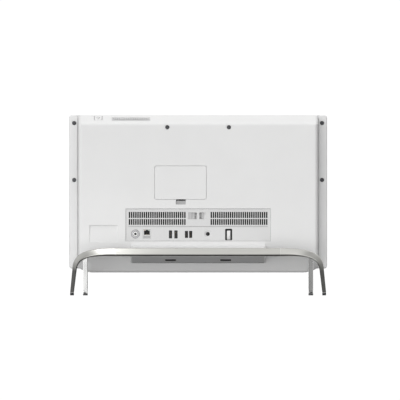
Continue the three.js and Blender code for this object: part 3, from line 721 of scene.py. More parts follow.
BACK_Y = 5.0
SEAM_Y = -28.0
COVER_HALF = 248.0
COVER_TOP = 372.0
COVER_BOTTOM = 47.3
CROWN_Z = 358.0
SLOPE_TOP_Z = 84.0
LIP = (-23.0, 50.8)
SWEEP_START = 217.0
CORNER_RISE = 10.3
SIDE_RADIUS = 8.0
LOW_RADIUS = 2.4
WALL = 2.5
HOLLOW_BOTTOM = 58.0
HATCH = {"x": (-17.0, 89.7), "z": (198.5, 267.3), "thick": 2.2}
NOTCH = {"x": (25.6, 45.7), "z": (187.8, 198.0)}
LABEL = {"x": (166.5, 224.4), "z": (110.3, 145.0), "shallow": 0.6, "deep": 3.0}
IO = {"half": 150.0, "z": (112.0, 179.5), "floor_y": 3.8, "thick": 2.2}
DISC = {"x": 184.0, "y": (-20.0, -8.0), "z": (150.0, 278.0)}
SCREW_SEAT = {"radius": 4.7, "depth": 1.7}
SCREW_BORE = {"radius": 2.1, "depth": 10.5}
BOSS_RADIUS = 6
ARM_GATE = {"half": 11, "z": (82, 98)}  # where a hinge arm enters the cover
COVER_SCREWS = ((63.6, 347.4), (-63.6, 347.4))
WING_SCREWS = ((256.0, 356.0), (256.0, 238.5), (-256.0, 356.0), (-256.0, 238.5))
TOP_TILT = math.atan2(COVER_TOP - CROWN_Z, -SEAM_Y)
POWER = {"x": 206.3, "z": 366.5, "half_x": 8.2, "half_y": 9.4}
TOP_VENT = {"x": 138.7, "z": 364.6, "half_x": 39.3, "half_y": 8.6}


def slope_z(y):
    """Height of the sloping lower back at a depth."""
    rise = (SLOPE_TOP_Z - LIP[1]) / (BACK_Y - LIP[0])
    return LIP[1] + (y - LIP[0]) * rise


def cover_sizes(y, inset):
    """Half width, top and bottom of the cover at a depth, moved in by inset."""
    radius = SIDE_RADIUS - inset
    bulge = min(max(0.0, y + SIDE_RADIUS - BACK_Y), radius)
    half = COVER_HALF - SIDE_RADIUS + math.sqrt(radius * radius - bulge * bulge)
    top = COVER_TOP - 0.5 * (y - SEAM_Y) - 1.1 * inset
    if y > 0:
        t = 1 - math.sqrt(max(0.0, 1 - y / (BACK_Y - inset)))
        top = quadratic((CROWN_Z - 1.1 * inset, CROWN_Z - 2.5 - 1.1 * inset, CROWN_Z - 8), t)
    if y < LIP[0]:
        bottom = COVER_BOTTOM + (LIP[1] - COVER_BOTTOM) * (y - SEAM_Y) / (LIP[0] - SEAM_Y)
    elif y > 1 and inset == 0:
        t = 1 - math.sqrt(max(0.0, 1 - (y - 1) / 4))
        bottom = quadratic((slope_z(1), SLOPE_TOP_Z, SLOPE_TOP_Z + 5), t)
    else:
        bottom = slope_z(y)
    if inset:
        bottom = max(HOLLOW_BOTTOM, bottom + 1.55 * inset)
    return half, top, bottom


def cover_ring(y, inset=0.0):
    """One section across X, from its lower left corner round by the right side and the top."""
    half, top, bottom = cover_sizes(y, inset)
    high_radius = max(7 - inset - (COVER_HALF - inset - half), 1.2)
    fade = 1 - (y - SEAM_Y) / (BACK_Y - SEAM_Y)

    def low_edge(x):
        sweep = max(0.0, (abs(x) - SWEEP_START) / (COVER_HALF - SWEEP_START))
        return bottom + CORNER_RISE * sweep * sweep * max(fade, 0.0)

    reach = half - LOW_RADIUS
    right = [reach - (reach - SWEEP_START) * step / 9 for step in range(9, -1, -1)]
    flat = [SWEEP_START * (step - 4) / 4 for step in range(1, 8)]
    xs = [-x for x in reversed(right)] + flat + right
    points = [(x, low_edge(x)) for x in xs]

    def corner(x, z, radius, start, steps):
        for step in range(1, steps + 1):
            angle = math.radians(start + 90 * step / steps)
            points.append((x + radius * math.cos(angle), z + radius * math.sin(angle)))

    low_center = low_edge(reach) + LOW_RADIUS
    corner(reach, low_center, LOW_RADIUS, -90, 5)
    rise = top - high_radius - low_center
    points += [(half, low_center + rise * step / 6) for step in range(1, 7)]
    corner(half - high_radius, top - high_radius, high_radius, 0, 8)
    span = half - high_radius
    points += [(span - 2 * span * step / 12, top) for step in range(1, 13)]
    corner(-span, top - high_radius, high_radius, 90, 8)
    points += [(-half, low_center + rise * (6 - step) / 6) for step in range(1, 7)]
    corner(-reach, low_center, LOW_RADIUS, 180, 4)
    return [Vector((x, y, z)) * MM for x, z in points]


def cover_body():
    depths = [-28, -26.4, -24.6, -23.3, -22.6, -21, -18, -14, -10, -6, -3]
    depths += [-3 + SIDE_RADIUS * math.sin(math.pi / 2 * step / 14) for step in range(1, 15)]
    return solid([cover_ring(min(y, BACK_Y)) for y in depths])


def cover_hollow():
    """What is taken out of the cover, open towards the front."""
    depths = [-29, -24, -18, -12, -8, -5, -3, -1, 0, 1, 1.8, 2.3, 2.499]
    return solid([cover_ring(y, WALL) for y in depths])


def on_top(spot):
    """Local u along X, v up the sloping top, w out of it."""
    y = SEAM_Y + (COVER_TOP - spot["z"]) / math.tan(TOP_TILT)
    place = Matrix.Translation(Vector((spot["x"], y, spot["z"])) * MM)
    return place @ Matrix.Rotation(-TOP_TILT, 4, "X") @ Matrix.Scale(MM, 4)


def top_plate(spot, margin, corner, levels):
    outline = rounded_rectangle(spot["half_x"] + margin, spot["half_y"] + margin, corner)
    return prism(outline, levels, on_top(spot))


def screw_hole(x, z, surface):
    """A seat for the head, and a bore for the shank."""
    return [
        round_hole(x, z, surface, SCREW_SEAT["radius"], SCREW_SEAT["depth"], 0.35),
        round_hole(x, z, surface - 1.5, SCREW_BORE["radius"], SCREW_BORE["depth"], 0.2),
    ]


def label_cutter():
    """Field for a label: deep at its top edge, and nearly flush at its bottom edge."""
    half_v = half_of(LABEL["z"])
    outline = rounded_rectangle(half_of(LABEL["x"]), half_v, 1.0)
    place = facing_back(center(LABEL["x"]), BACK_Y, center(LABEL["z"]))
    shallow, deep = LABEL["shallow"], LABEL["deep"]
    rings = []
    for w, growth in cut_levels(deep, 0.5):
        ring = []
        for u, v in outline(growth):
            depth = w
            if w < -0.55:
                depth = -shallow - (deep - shallow) * (v + half_v) / (2 * half_v)
            ring.append(place @ Vector((u, v, depth)))
        rings.append(ring)
    return solid(rings)


def cover_pads():
    """Thicker walls behind the hatch, its notch, the label field, the grille and the screws."""
    behind = BACK_Y - WALL + 0.1
    return [
        block(grow(HATCH["x"], 3), (0, behind), grow(HATCH["z"], 3), 0.01),
        block(grow(NOTCH["x"], 2), (-1, behind), (NOTCH["z"][0] - 2, HATCH["z"][0]), 0.01),
        block(grow(LABEL["x"], 2), (0, behind), grow(LABEL["z"], 2), 0.01),
        top_plate(TOP_VENT, 2, 1.0, [(-5, 0), (-1, 0)]),
        join(*[rod(x, z, BOSS_RADIUS, (-8, behind)) for x, z in COVER_SCREWS]),
    ]


def cover_openings():
    gate_x = [around(x, ARM_GATE["half"]) for x in (-HINGE["x"], HINGE["x"])]
    arm_gates = [hole(x, ARM_GATE["z"], BACK_Y, 18) for x in gate_x]
    mouth_place = facing_side(COVER_HALF, center(DISC["y"]), center(DISC["z"]))
    disc_mouth = prism(rounded_rectangle(6.5, 64.5, 0.8), cut_levels(6, 0.4), mouth_place)
    screws = [tool for x, z in COVER_SCREWS for tool in screw_hole(x, z, BACK_Y)]
    return [
        hole(grow(HATCH["x"], 0.55), grow(HATCH["z"], 0.55), BACK_Y, HATCH["thick"] + 0.3, 0.4, 4),
        hole(grow(HATCH["x"], -4), grow(HATCH["z"], -4), 2.4, 5, 0.3, 2),
        hole(NOTCH["x"], (NOTCH["z"][0], HATCH["z"][0] + 1), BACK_Y, 4, 0.5, 1.2),
        label_cutter(),
        hole(around(0, IO["half"]), IO["z"], BACK_Y, 12, 0.3, 0.5),
        join(*arm_gates, disc_mouth),
        top_plate(POWER, 0.3, 1.2, cut_levels(6, 0.35)),
        top_plate(TOP_VENT, 0.0, 1.2, cut_levels(8, 0.35)),
        *screws,
    ]


def make_rear_cover():
    shell = unite(cut(cover_body(), cover_hollow()), *cover_pads())
    shell = cut(shell, *cover_openings())
    piece("back_shell", shell, WHITE, replaces=["rear_cover"])


def make_latch():
    """Spring tab of the hatch, seen through the finger notch. Its gray, and the dark strip at its top, are
    painted shade for the inside of the notch.
    """
    x = grow(NOTCH["x"], -0.3)
    low, high = NOTCH["z"]
    tab = block(x, (-1.5, 1.6), (low + 0.3, high - 2.6), 0.4, 1.0)
    piece("hatch_latch", tab, PAD_GRAY)
    # Painted shadow: the dark strip along the top of the notch.
    spring = block(x, (-1.5, 1.0), (high - 2.5, high + 0.8), 0.1, 0.3)
    piece("notch_top_painted_shadow", spring, DARK_GRAY)


def make_hatch():
    """Memory hatch: a thin plate with a rounded edge, and stiffening ribs on its inner face."""
    x, z = center(HATCH["x"]), center(HATCH["z"])
    half_u, half_v = half_of(HATCH["x"]), half_of(HATCH["z"])
    skin = plate_levels(-HATCH["thick"] + 0.8, 0, 0.5)
    plate = prism(rounded_rectangle(half_u, half_v, 3.7, 8), skin, facing_back(x, BACK_Y, z))
    ribs = []
    for i in range(-3, 4):
        ribs.append(block(around(x + i * 14, 0.5), (2.8, 4.2), around(z, half_v - 6), 0.1, 0.3))
    place = facing_back(x, 0, z)
    edge = cut(
        prism(rounded_rectangle(half_u - 4.4, half_v - 4.4, 2), [(2.8, 0), (4.0, 0)], place),
        prism(rounded_rectangle(half_u - 5.6, half_v - 5.6, 1.5), [(2.0, 0), (4.01, 0)], place),
    )
    plate = unite(plate, edge, join(*ribs))
    piece("hatch_plate", plate, WHITE, "memory_hatch", ["memory_hatch"])


# ---------------------------------------------------------------- port panel

PORT_Z = 126.9
VENT = {"inner": 25.1, "pitch": 4.402, "slots": 27, "width": 2.9}
VENT_ROWS = ((145.7, 157.8), (159.9, 172.5))
LOCK = {"x": (-16.3, 19.8), "z": (157.8, 171.3), "post": (-2.3, 2.7), "back_y": -7.0, "gap": 4.4}
COAX = {"x": 129.5, "radius": 8.8, "bore": 4.75}
LAN = {"x": 105.8, "half": 8.0, "z": (118.0, 136.0)}
USB = (
    {"name": "usb_port_1", "x": 57.0, "height": 16.2, "width": 6.2},
    {"name": "usb_port_2", "x": 45.7, "height": 16.2, "width": 6.2},
    {"name": "usb_port_3", "x": 24.0, "height": 14.0, "width": 6.0},
    {"name": "usb_port_4", "x": 15.4, "height": 14.0, "width": 6.0},
)
USB_Z = 126.0
POWER_IN = {"x": -20.2, "radius": 3.7, "dimple": 9.0, "mouth": 4.4, "depth": 2.2}
HOOK = {"x": -63.1, "half_gap": 7.2, "half": 3.5, "z": (112.0, 137.6)}
PANEL_LINE = {"z": 142.3, "half": 144.0}
FLOOR_Y = IO["floor_y"]
PORT_FACE = FLOOR_Y - 0.3
AXIS = 0.001  # radius of a lathe point on the axis


def vent_cutters():
    """Two rows of upright slots on each side of the lock."""
    slots = []
    for side in (-1, 1):
        for row in VENT_ROWS:
            for i in range(VENT["slots"]):
                x = side * (VENT["inner"] + VENT["pitch"] * (i + 0.5))
                slots.append(hole(around(x, VENT["width"] / 2), row, FLOOR_Y, 5, 0.22, 0.5))
    return join(*slots)


def lock_cutters():
    """On each side of the post a deep gap, then a curved ramp up to the outer end of the pocket."""
    gap, deep = LOCK["gap"], LOCK["back_y"]
    tools = []
    for inner, sign, outer in zip(LOCK["post"], (-1, 1), LOCK["x"]):
        ramp = inner + sign * gap
        profile = [(inner, 6.0), (inner, deep), (ramp, deep)]
        for step in range(9):
            t = step / 8
            profile.append((ramp + (outer - ramp) * t, quadratic((-3.0, -1.5, 1.6), t)))
        profile += [(outer, FLOOR_Y - 0.3), (outer + sign * 0.3, FLOOR_Y), (outer + sign * 0.6, 6.0)]
        tools.append(solid([[Vector((x, y, z)) * MM for x, y in profile] for z in LOCK["z"]]))
    tools.append(block(grow(LOCK["post"], gap), (deep, -2), LOCK["z"], 0.01))
    return tools


def basin_cutter():
    """The shallow basin that holds all the ports."""
    outline = rounded_rectangle(IO["half"] - 1.6, half_of(IO["z"]) - 1.6, 1.2)
    rim = BACK_Y - 0.3
    return prism(outline, cut_levels(rim - FLOOR_Y, 0.5), facing_back(0, rim, center(IO["z"])))


def power_dimple():
    """Smooth dish that leads down to the round power inlet."""
    edge, mouth = POWER_IN["dimple"], POWER_IN["mouth"]
    profile = [(AXIS, -3.1)]
    for step in range(13):
        t = step / 12
        profile.append((mouth + (edge - mouth) * t, -POWER_IN["depth"] * (1 - t) ** 1.6))
    profile += [(edge + 1.2, 0.4), (AXIS, 0.4)]
    return lathe(profile, facing_back(POWER_IN["x"], FLOOR_Y, PORT_Z), 48)


def port_openings():
    power_y = FLOOR_Y - POWER_IN["depth"]
    hook_z = (HOOK["z"][0] + 2, HOOK["z"][1])
    tools = [
        round_hole(POWER_IN["x"], PORT_Z, power_y, POWER_IN["radius"] + 0.3, 6, 0.4),
        round_hole(COAX["x"], PORT_Z, FLOOR_Y, COAX["radius"] + 0.2, 4, 0.25),
        hole(around(LAN["x"], LAN["half"] + 0.2), grow(LAN["z"], 0.2), FLOOR_Y, 4, 0.2),
        hole(around(HOOK["x"], HOOK["half_gap"]), hook_z, FLOOR_Y, 5, 0.5, 1.6),
    ]
    for port in USB:
        x = around(port["x"], port["width"] / 2 + 0.2)
        tools.append(hole(x, around(USB_Z, port["height"] / 2 + 0.2), FLOOR_Y, 4, 0.35, 0.8))
    return join(*tools)


def make_port_panel():
    rim = BACK_Y - 0.3
    plate = block(around(0, IO["half"] - 0.3), (FLOOR_Y - IO["thick"], rim), grow(IO["z"], -0.3))
    lock_box = block(grow(LOCK["x"], 2), (LOCK["back_y"] - 2, FLOOR_Y - 1), grow(LOCK["z"], 2), 0.01)
    power_seat = rod(POWER_IN["x"], PORT_Z, POWER_IN["dimple"] + 2, (-1, FLOOR_Y - 1))
    panel = cut(unite(plate, lock_box, power_seat), basin_cutter())
    groove_outline = rounded_rectangle(PANEL_LINE["half"], 0.8, 0.5)
    groove = prism(groove_outline, cut_levels(1.3, 0.2), facing_back(0, FLOOR_Y, PANEL_LINE["z"]))
    panel = cut(panel, vent_cutters(), *lock_cutters(), groove, power_dimple(), port_openings())
    piece("port_plate", panel, SHADED_PORT_WHITE, replaces=["io_panel"])


def make_panel_details():
    """Painted shade: a gray line in the panel groove, gray floors in the lock pockets and near-black cloth
    behind the vents stand for the shade in these hollows.
    """
    line_z = around(PANEL_LINE["z"], 0.65)
    line = block(around(0, PANEL_LINE["half"] - 0.6), (FLOOR_Y - 1.2, FLOOR_Y - 0.4), line_z, 0.1, 0.2)
    piece("panel_groove_painted_shade", line, LIGHT_GRAY)
    post = grow(LOCK["post"], LOCK["gap"] + 0.1)
    pockets = ((LOCK["x"][0] + 0.4, post[0]), (post[1], LOCK["x"][1] - 0.4))
    plates = [block(x, (-3.4, -0.6), grow(LOCK["z"], -0.3)) for x in pockets]
    piece("lock_pocket_painted_shade", join(*plates), LIGHT_GRAY)
    z = grow((VENT_ROWS[0][0], VENT_ROWS[1][1]), 2)
    ends = (VENT["inner"], VENT["inner"] + VENT["pitch"] * VENT["slots"])
    for name, x in (("left", (-ends[1], -ends[0])), ("right", ends)):
        piece(f"vent_shade_filter_{name}", block(x, (-0.6, 0.2), z, 0.1, 1.0), VENT_SHADE_FILTER)


def make_lan_socket():
    x = LAN["x"]
    inner = PORT_FACE - 0.5
    body = cut(
        block(around(x, LAN["half"]), (-25, PORT_FACE), LAN["z"], 0.25, 0.5),
        hole(around(x, 6), (125.2, 133.6), PORT_FACE, 16, 0.35, 0.4),
        hole(around(x, 2.6), (133.0, 135.4), PORT_FACE, 16, 0.25, 0.3),
        hole(around(x, 7.2), (118.8, 123.4), PORT_FACE, 0.7, 0.2, 0.5),
    )
    piece("lan_socket", body, SHADED_PORT_WHITE, replaces=["lan_jack"])
    liner = cut(
        block(around(x, 5.98), (-16, inner), (125.22, 135.3), 0.1, 0.3),
        hole(around(x, 5.5), (125.7, 133.2), inner, 14, 0.1),
        hole(around(x, 2.2), (132.8, 135.0), inner, 14, 0.1),
    )
    piece("lan_liner", liner, BLACK_PLASTIC)
    wires = []
    for i in range(8):
        wires.append(block(around(x + (i - 3.5) * 1.02, 0.16), (-12, -2), (126.0, 126.5), 0.05, 0.1))
    piece("lan_contacts", join(*wires), GOLD)
    ridges = [block(around(x, 7), (2.9, 3.3), around(z, 0.75), 0.15) for z in (119.9, 122.2)]
    piece("lan_ridges", join(*ridges), PAD_GRAY)
    for name, side, material in (("right", 1, AMBER), ("left", -1, GREEN)):
        lamp = block(around(x + side * 4.6, 1.1), (2.8, PORT_FACE + 0.1), (134.1, 135.3), 0.1, 0.3)
        piece(f"lan_lamp_{name}", lamp, material)


def make_usb_socket(port, number):
    x = port["x"]
    half_v = port["height"] / 2
    mouth, tall = 2.55, half_v - 0.9  # half width and half height of the opening
    shell_face = PORT_FACE - 1.0
    dark = DARK_GRAY if number <= 2 else BLACK_PLASTIC
    bezel = cut(
        block(around(x, port["width"] / 2), (-24, PORT_FACE), around(USB_Z, half_v), 0.3, 0.7),
        hole(around(x, mouth), around(USB_Z, tall), PORT_FACE, 15, 0.3, 0.5),
    )
    piece(f"usb_bezel_{number}", bezel, dark, replaces=[port["name"]])
    shell = cut(
        block(around(x, mouth - 0.03), (-14, shell_face), around(USB_Z, tall - 0.03), 0.05, 0.5),
        hole(around(x, mouth - 0.3), around(USB_Z, tall - 0.3), shell_face, 13, 0.06, 0.3),
    )
    piece(f"usb_shell_{number}", shell, DARK_STEEL)
    tongue = block((x - 1.5, x + 0.3), (-13, -0.6), around(USB_Z, tall - 0.9), 0.3, 0.3)
    piece(f"usb_tongue_{number}", tongue, dark)
    contacts = []
    for i in range(4):
        z = around(USB_Z + (i - 1.5) * 2.3, 0.45)
        contacts.append(block((x + 0.3, x + 0.5), (-11, -1.4), z, 0.05, 0.08))
    piece(f"usb_contacts_{number}", join(*contacts), GOLD)


def make_antenna_socket():
    """A flange, a threaded barrel and its core, which stands out of the panel."""
    place = facing_back(COAX["x"], 0, PORT_Z)
    radius, bore = COAX["radius"], COAX["bore"]
    profile = [(4.9, -1.5), (radius, -1.5), (radius, 2.3), (radius - 0.5, 2.8), (5.4, 2.8), (5.0, 2.4)]
    flange = lathe(profile, place, 48, closed=True)
    piece("antenna_flange", flange, STEEL, replaces=["antenna_jack"])
    profile = [(2.5, -5.8), (bore, -5.8), (bore, 2.8)]
    for i in range(5):
        w = 2.9 + i * 0.66
        profile += [(bore, w), (5.0, w + 0.18), (5.0, w + 0.32), (bore, w + 0.5)]
    profile += [(4.7, 6.3), (4.45, 6.5), (2.75, 6.5), (2.5, 6.25)]
    barrel = lathe(profile, place, 48, closed=True)
    piece("antenna_barrel", barrel, BRIGHT_METAL)
    profile = [(0.5, 3.6), (0.7, 4.2), (2.0, 4.4), (2.48, 4.0), (2.48, -5.6), (0.5, -5.6)]
    piece("antenna_core", lathe(profile, place, 32, closed=True), BLACK_PLASTIC)


def make_power_socket():
    x = POWER_IN["x"]
    body = cut(
        block(around(x, 6), (-25, -1.3), around(PORT_Z, 5.5), 0.4, 0.6),
        round_hole(x, PORT_Z, -1.3, 3.0, 13, 0.4),
    )
    piece("power_socket_body", body, BLACK_PLASTIC, replaces=["power_inlet"])
    profile = [(AXIS, -12), (0.8, -12), (0.8, -3.6), (0.55, -3.1), (AXIS, -3.0)]
    pin = lathe(profile, facing_back(x, 0, PORT_Z), 24)
    piece("power_socket_pin", pin, SHELL_STEEL)


def make_cable_hook():
    """A soft-edged tongue that rises in front of its opening."""
    outline = [(-5.8, 114.6), (0.4, 114.6), (4.2, 122.5), (4.2, 131.2), (3.2, 134.0), (2.0, 133.6)]
    outline += [(2.0, 120.5), (0.6, 119.0), (-5.8, 119.0)]
    section = soften(outline, 6, 0.22)
    middle = Vector((2.0, 124.0))
    half = HOOK["half"]
    rounding = [(half, 0.6), (half - 0.2, 0.2), (half - 0.6, 0)]
    rings = []
    for u, inset in [(-u, inset) for u, inset in rounding] + rounding[::-1]:
        ring = []
        for point in section:
            flat = point + (middle - point).normalized() * inset
            ring.append(Vector((HOOK["x"] + u, flat.x, flat.y)) * MM)
        rings.append(ring)
    # Painted shade: black plates behind and round the opening stand for the dark inside it.
    plate = block(around(HOOK["x"], 9), (-8, -5.7), (112, 139), 0.2, 1.0)
    piece("hook_back_painted_shade", plate, BLACK_PLASTIC)
    low, high = HOOK["z"]
    wide = around(HOOK["x"], HOOK["half_gap"] - 0.05)
    face = FLOOR_Y - 0.5
    lining = cut(
        block(wide, (-5.8, face), (low + 2.1, high - 0.05), 0.1, 1.5),
        hole(grow(wide, -0.7), (low + 2.8, high - 0.9), face, 12, 0.1, 1.0),
    )
    piece("hook_rim_painted_shade", lining, BLACK_PLASTIC)
    piece("hook_tongue", solid(rings), WHITE, replaces=["cable_hook"])


# ---------------------------------------------------------------- bracket cover

BRACKET = {"half": 139.0, "tip_y": 35.5, "tip_z": (80.8, 98.0), "foot": (67.1, 111.5), "wall": 2.3}
HEEL_Y = LIP[0] + (BRACKET["foot"][0] - LIP[1]) * 28 / 33.2 + 0.41
UNDERSIDE_RISE = (BRACKET["tip_z"][0] - BRACKET["foot"][0]) / (BRACKET["tip_y"] - HEEL_Y)
ARM_SLOT = {"y": 9.5, "half_x": 11.3, "half_y": 5.5}


def underside(y):
    """Height of the bracket's sloping underside at a depth."""
    return BRACKET["foot"][0] + UNDERSIDE_RISE * (y - HEEL_Y)


def bracket_top(dy, dz, steps=14):
    """The hollow curve from the back cover down to the tip."""
    tip_y, foot, tip = BRACKET["tip_y"], BRACKET["foot"][1], BRACKET["tip_z"][1]
    start = Vector((BACK_Y + 0.3 + dy, foot + dz))
    curve = (
        Vector((BACK_Y + 1.1 + dy, foot - 7 + dz)),
        Vector((BACK_Y + 2.0 + dy, foot - 12 + dz)),
        Vector((tip_y + dy, tip + dz)),
    )
    return [start] + [quadratic(curve, step / steps) for step in range(steps + 1)]


def corner_fillet(before, here, after, radius, steps=5):
    start = here + (before - here).normalized() * radius
    end = here + (after - here).normalized() * radius
    return [quadratic((start, here, end), step / steps) for step in range(steps + 1)]


def bracket_outline():
    tip_top, tip_bottom = (Vector((BRACKET["tip_y"], z)) for z in BRACKET["tip_z"][::-1])
    heel = Vector((HEEL_Y, BRACKET["foot"][0]))
    back = Vector((BACK_Y + 0.3, SLOPE_TOP_Z - 0.1))
    top = bracket_top(0, 0)
    outline = top[:-1]
    outline += corner_fillet(top[-2], tip_top, tip_bottom, 1.2)
    outline += corner_fillet(tip_top, tip_bottom, heel, 1.8)
    outline += corner_fillet(tip_bottom, heel, back, 1.0)
    return outline + [back]


def bracket_shell():
    """Sections across X. The last ones on each side draw in, which rounds the ends."""
    outline = bracket_outline()
    middle = Vector((20, 90))
    edge = 1.6
    rings = []
    for step in range(-7, 8):
        turn = max(0.0, abs(step) - 1) / 6 * math.pi / 2
        x, inset = 0.0, 0.0
        if step:
            x = math.copysign(BRACKET["half"] - edge + edge * math.sin(turn), step)
            inset = edge * (1 - math.cos(turn))
        ring = []
        for point in outline:
            reach = min(1.0, max(0.0, (point.x - 3) / 12))
            flat = point + (middle - point).normalized() * inset * reach
            ring.append(Vector((x, flat.x, flat.y)) * MM)
        rings.append(ring)
    return solid(rings)


def bracket_hollow():
    wall, end_y, deep_y = BRACKET["wall"], BRACKET["tip_y"] + 5, -25
    outline = bracket_top(-1.8, -wall)
    outline += [Vector((end_y, BRACKET["tip_z"][1] - wall - 0.6)), Vector((end_y, underside(end_y) + wall))]
    outline += [Vector((deep_y, underside(deep_y) + wall)), Vector((deep_y, BRACKET["foot"][1] - wall))]
    reach = BRACKET["half"] - 2.2
    return solid([[Vector((x, p.x, p.y)) * MM for p in outline] for x in (-reach, reach)])


def arm_slot_outline():
    return rounded_rectangle(ARM_SLOT["half_x"], ARM_SLOT["half_y"], 1.0)


def arm_slot_cutter():
    outline = arm_slot_outline()
    places = [facing_up(x, ARM_SLOT["y"], 0) for x in (-HINGE["x"], HINGE["x"])]
    return join(*[prism(outline, [(60, 0), (80, 0)], place) for place in places])


def underside_ring(outline, x, y, lift):
    """An outline laid on the sloping underside, raised by lift."""
    return [Vector((x + u, y + v, underside(y + v) + lift)) * MM for u, v in outline]


def make_bracket_cover():
    half = BRACKET["half"]
    shell = cut(bracket_shell(), bracket_hollow(), arm_slot_cutter())
    piece("bracket_shell", shell, WHITE, replaces=["bracket_cover"])
    # Painted shade: a gray skin over the sloping underside stands for the shade under the bracket.
    outline = rounded_rectangle(half - 2.5, (BRACKET["tip_y"] - HEEL_Y) / 2 - 2.2, 1.0)(0)
    y = (BRACKET["tip_y"] + HEEL_Y) / 2
    skin = cut(solid([underside_ring(outline, 0, y, lift) for lift in (-0.1, 0.6)]), arm_slot_cutter())
    piece("bracket_underside_painted_shade", skin, UNDERSIDE_PAINTED_SHADE)
    # Painted shadow: a dark strip along the heel stands for the shade where the bracket meets the sloping
    # back.
    foot = BRACKET["foot"][0]
    heel_shadow_strip = block(around(0, half - 3), (HEEL_Y - 1.5, HEEL_Y + 0.8), (foot - 0.3, foot + 0.8), 0.2)
    piece("bracket_heel_painted_shadow", heel_shadow_strip, DARK_GRAY)
    # Painted shade: near-black linings in the arm slots stand for the dark inside them.
    linings = []
    for x in (-HINGE["x"], HINGE["x"]):
        rings = []
        for lift, growth in ((0.3, -0.3), (0.4, -0.1), (3.4, -0.1), (3.5, -0.3)):
            rings.append(underside_ring(arm_slot_outline()(growth), x, ARM_SLOT["y"], lift))
        linings.append(solid(rings))
    piece("slot_painted_shade", join(*linings), PAINTED_SHADE_BLACK)


# ---------------------------------------------------------------- sloping top


def make_power_button():
    """A key with a flange that stays inside, and a ring and a tick sunk into its face."""
    place = on_top(POWER)
    half_x, half_y = POWER["half_x"], POWER["half_y"]
    key_outline = rounded_rectangle(half_x - 0.8, half_y - 0.3, 1.4, 7)
    key = prism(key_outline, plate_levels(-3.4, 0.6, 0.45), place)
    flange = prism(rounded_rectangle(half_x + 1.5, half_y, 1.0), [(-4.3, 0), (-3.39, 0)], place)
    ring = lathe([(2.6, 1.0), (3.5, 1.0), (3.5, 0.38), (2.6, 0.38)], place, closed=True)
    tick_place = place @ Matrix.Translation((0, 3.0, 0))
    tick = prism(rounded_rectangle(0.45, 1.6, 0.4), [(0.38, 0), (1.0, 0)], tick_place)
    key = cut(unite(key, flange), ring, tick)
    piece("power_key", key, WHITE, "power_button", ["power_button"])
    mark = lathe([(2.62, 0.5), (3.48, 0.5), (3.48, 0.3), (2.62, 0.3)], place, closed=True)
    piece("power_mark", mark, DARK_GRAY, "power_button")


def make_top_grille():
    """Recessed louvre strip: fine bars over a light-gray tray."""
    slots = []
    for i in range(20):
        place = on_top(TOP_VENT) @ Matrix.Translation(((i - 9.5) * 3.7, 0, -0.8))
        slots.append(prism(rounded_rectangle(0.7, 6.0, 0.6), cut_levels(4, 0.3, 3, 0.1), place))
    strip = top_plate(TOP_VENT, -0.3, 0.8, plate_levels(-3.4, -0.8, 0.3))
    grille = cut(strip, join(*slots))
    piece("top_louvre", grille, GRILLE_GRAY, replaces=["top_grille"])
    tray = top_plate(TOP_VENT, -0.3, 0.8, [(-4.6, 0), (-4.0, 0)])
    piece("top_louvre_mesh", tray, GRILLE_GRAY)


# ---------------------------------------------------------------- front

FRAME_HALF = 266.5
FRAME_Z = (55.5, 372.5)
FRONT_Y = -44.0
INNER_Z = (60, 368)
WINDOW = {"half": 239.0, "z": (87.0, 357.0)}
CAMERA_Z = 365.3
SOUND_SLOT = {"x": 140, "pitch": 8, "count": 10, "y": -36.75}


def slab(half, z, levels, corner):
    """Rounded rectangle in X and Z. Its levels are along Y."""
    outline = rounded_rectangle(half, half_of(z), corner, 8)
    return prism(outline, levels, facing_back(0, 0, center(z)))


def straight(low, high):
    return [(low, 0), (high, 0)]


def frame_blank(rear):
    """The whole front slab, with its front and rear edges rounded."""
    front_edge = [(FRONT_Y + 1.3 * (1 - math.cos(a)), -1.3 * (1 - math.sin(a))) for a in quarter_turn(5)]
    rear_edge = [(rear - 2.5 * (1 - math.sin(a)), -2.5 * (1 - math.cos(a))) for a in quarter_turn(6)]
    return slab(FRAME_HALF, FRAME_Z, front_edge + rear_edge, 6)


def sound_slots():
    """Rows of slots in the lower edge, under each speaker."""
    slots = []
    for side in (-1, 1):
        for i in range(SOUND_SLOT["count"]):
            x = side * (SOUND_SLOT["x"] + SOUND_SLOT["pitch"] * i)
            place = Matrix.Rotation(math.pi, 4, "Y") @ facing_up(x, SOUND_SLOT["y"], -FRAME_Z[0])
            slots.append(prism(rounded_rectangle(2.5, 1.25, 1.1), cut_levels(5.5, 0.4), place))
    return join(*slots)


def make_front_frame():
    rear = SEAM_Y - 0.3
    side_gap = cut(
        slab(COVER_HALF + 1.6, grow(FRAME_Z, 3), straight(rear - 2.6, rear + 1), 4),
        slab(COVER_HALF - 0.6, grow(FRAME_Z, 4), straight(rear - 3, rear + 2), 4),
    )
    shell = cut(
        frame_blank(rear),
        slab(FRAME_HALF - 3.6, grow(FRAME_Z, -3.6), straight(FRONT_Y - 1, FRONT_Y + 2), 3),
        slab(WINDOW["half"], WINDOW["z"], straight(FRONT_Y, -39), 1),
        slab(262.5, INNER_Z, straight(-40, -31), 4),
        slab(245, INNER_Z, straight(-31.5, -27), 4),
        side_gap,
    )
    bosses = [rod(x, z, BOSS_RADIUS, (-40.5, -30.5)) for x, z in WING_SCREWS]
    holes = [tool for x, z in WING_SCREWS for tool in screw_hole(x, z, rear)]
    shell = cut(unite(shell, join(*bosses)), *holes, rod(0, CAMERA_Z, 3, (-43, -39)), sound_slots())
    piece("bezel_frame", shell, FRAME_WHITE, replaces=["front_frame"])
    gasket = cut(
        slab(COVER_HALF - 1.2, (FRAME_Z[0] + 0.5, 370.4), straight(rear - 0.2, SEAM_Y), 5),
        slab(COVER_HALF - 3, (FRAME_Z[0] + 2.5, 368.6), straight(-29, -27), 4),
    )
    piece("seam_gasket", gasket, DARK_GRAY)


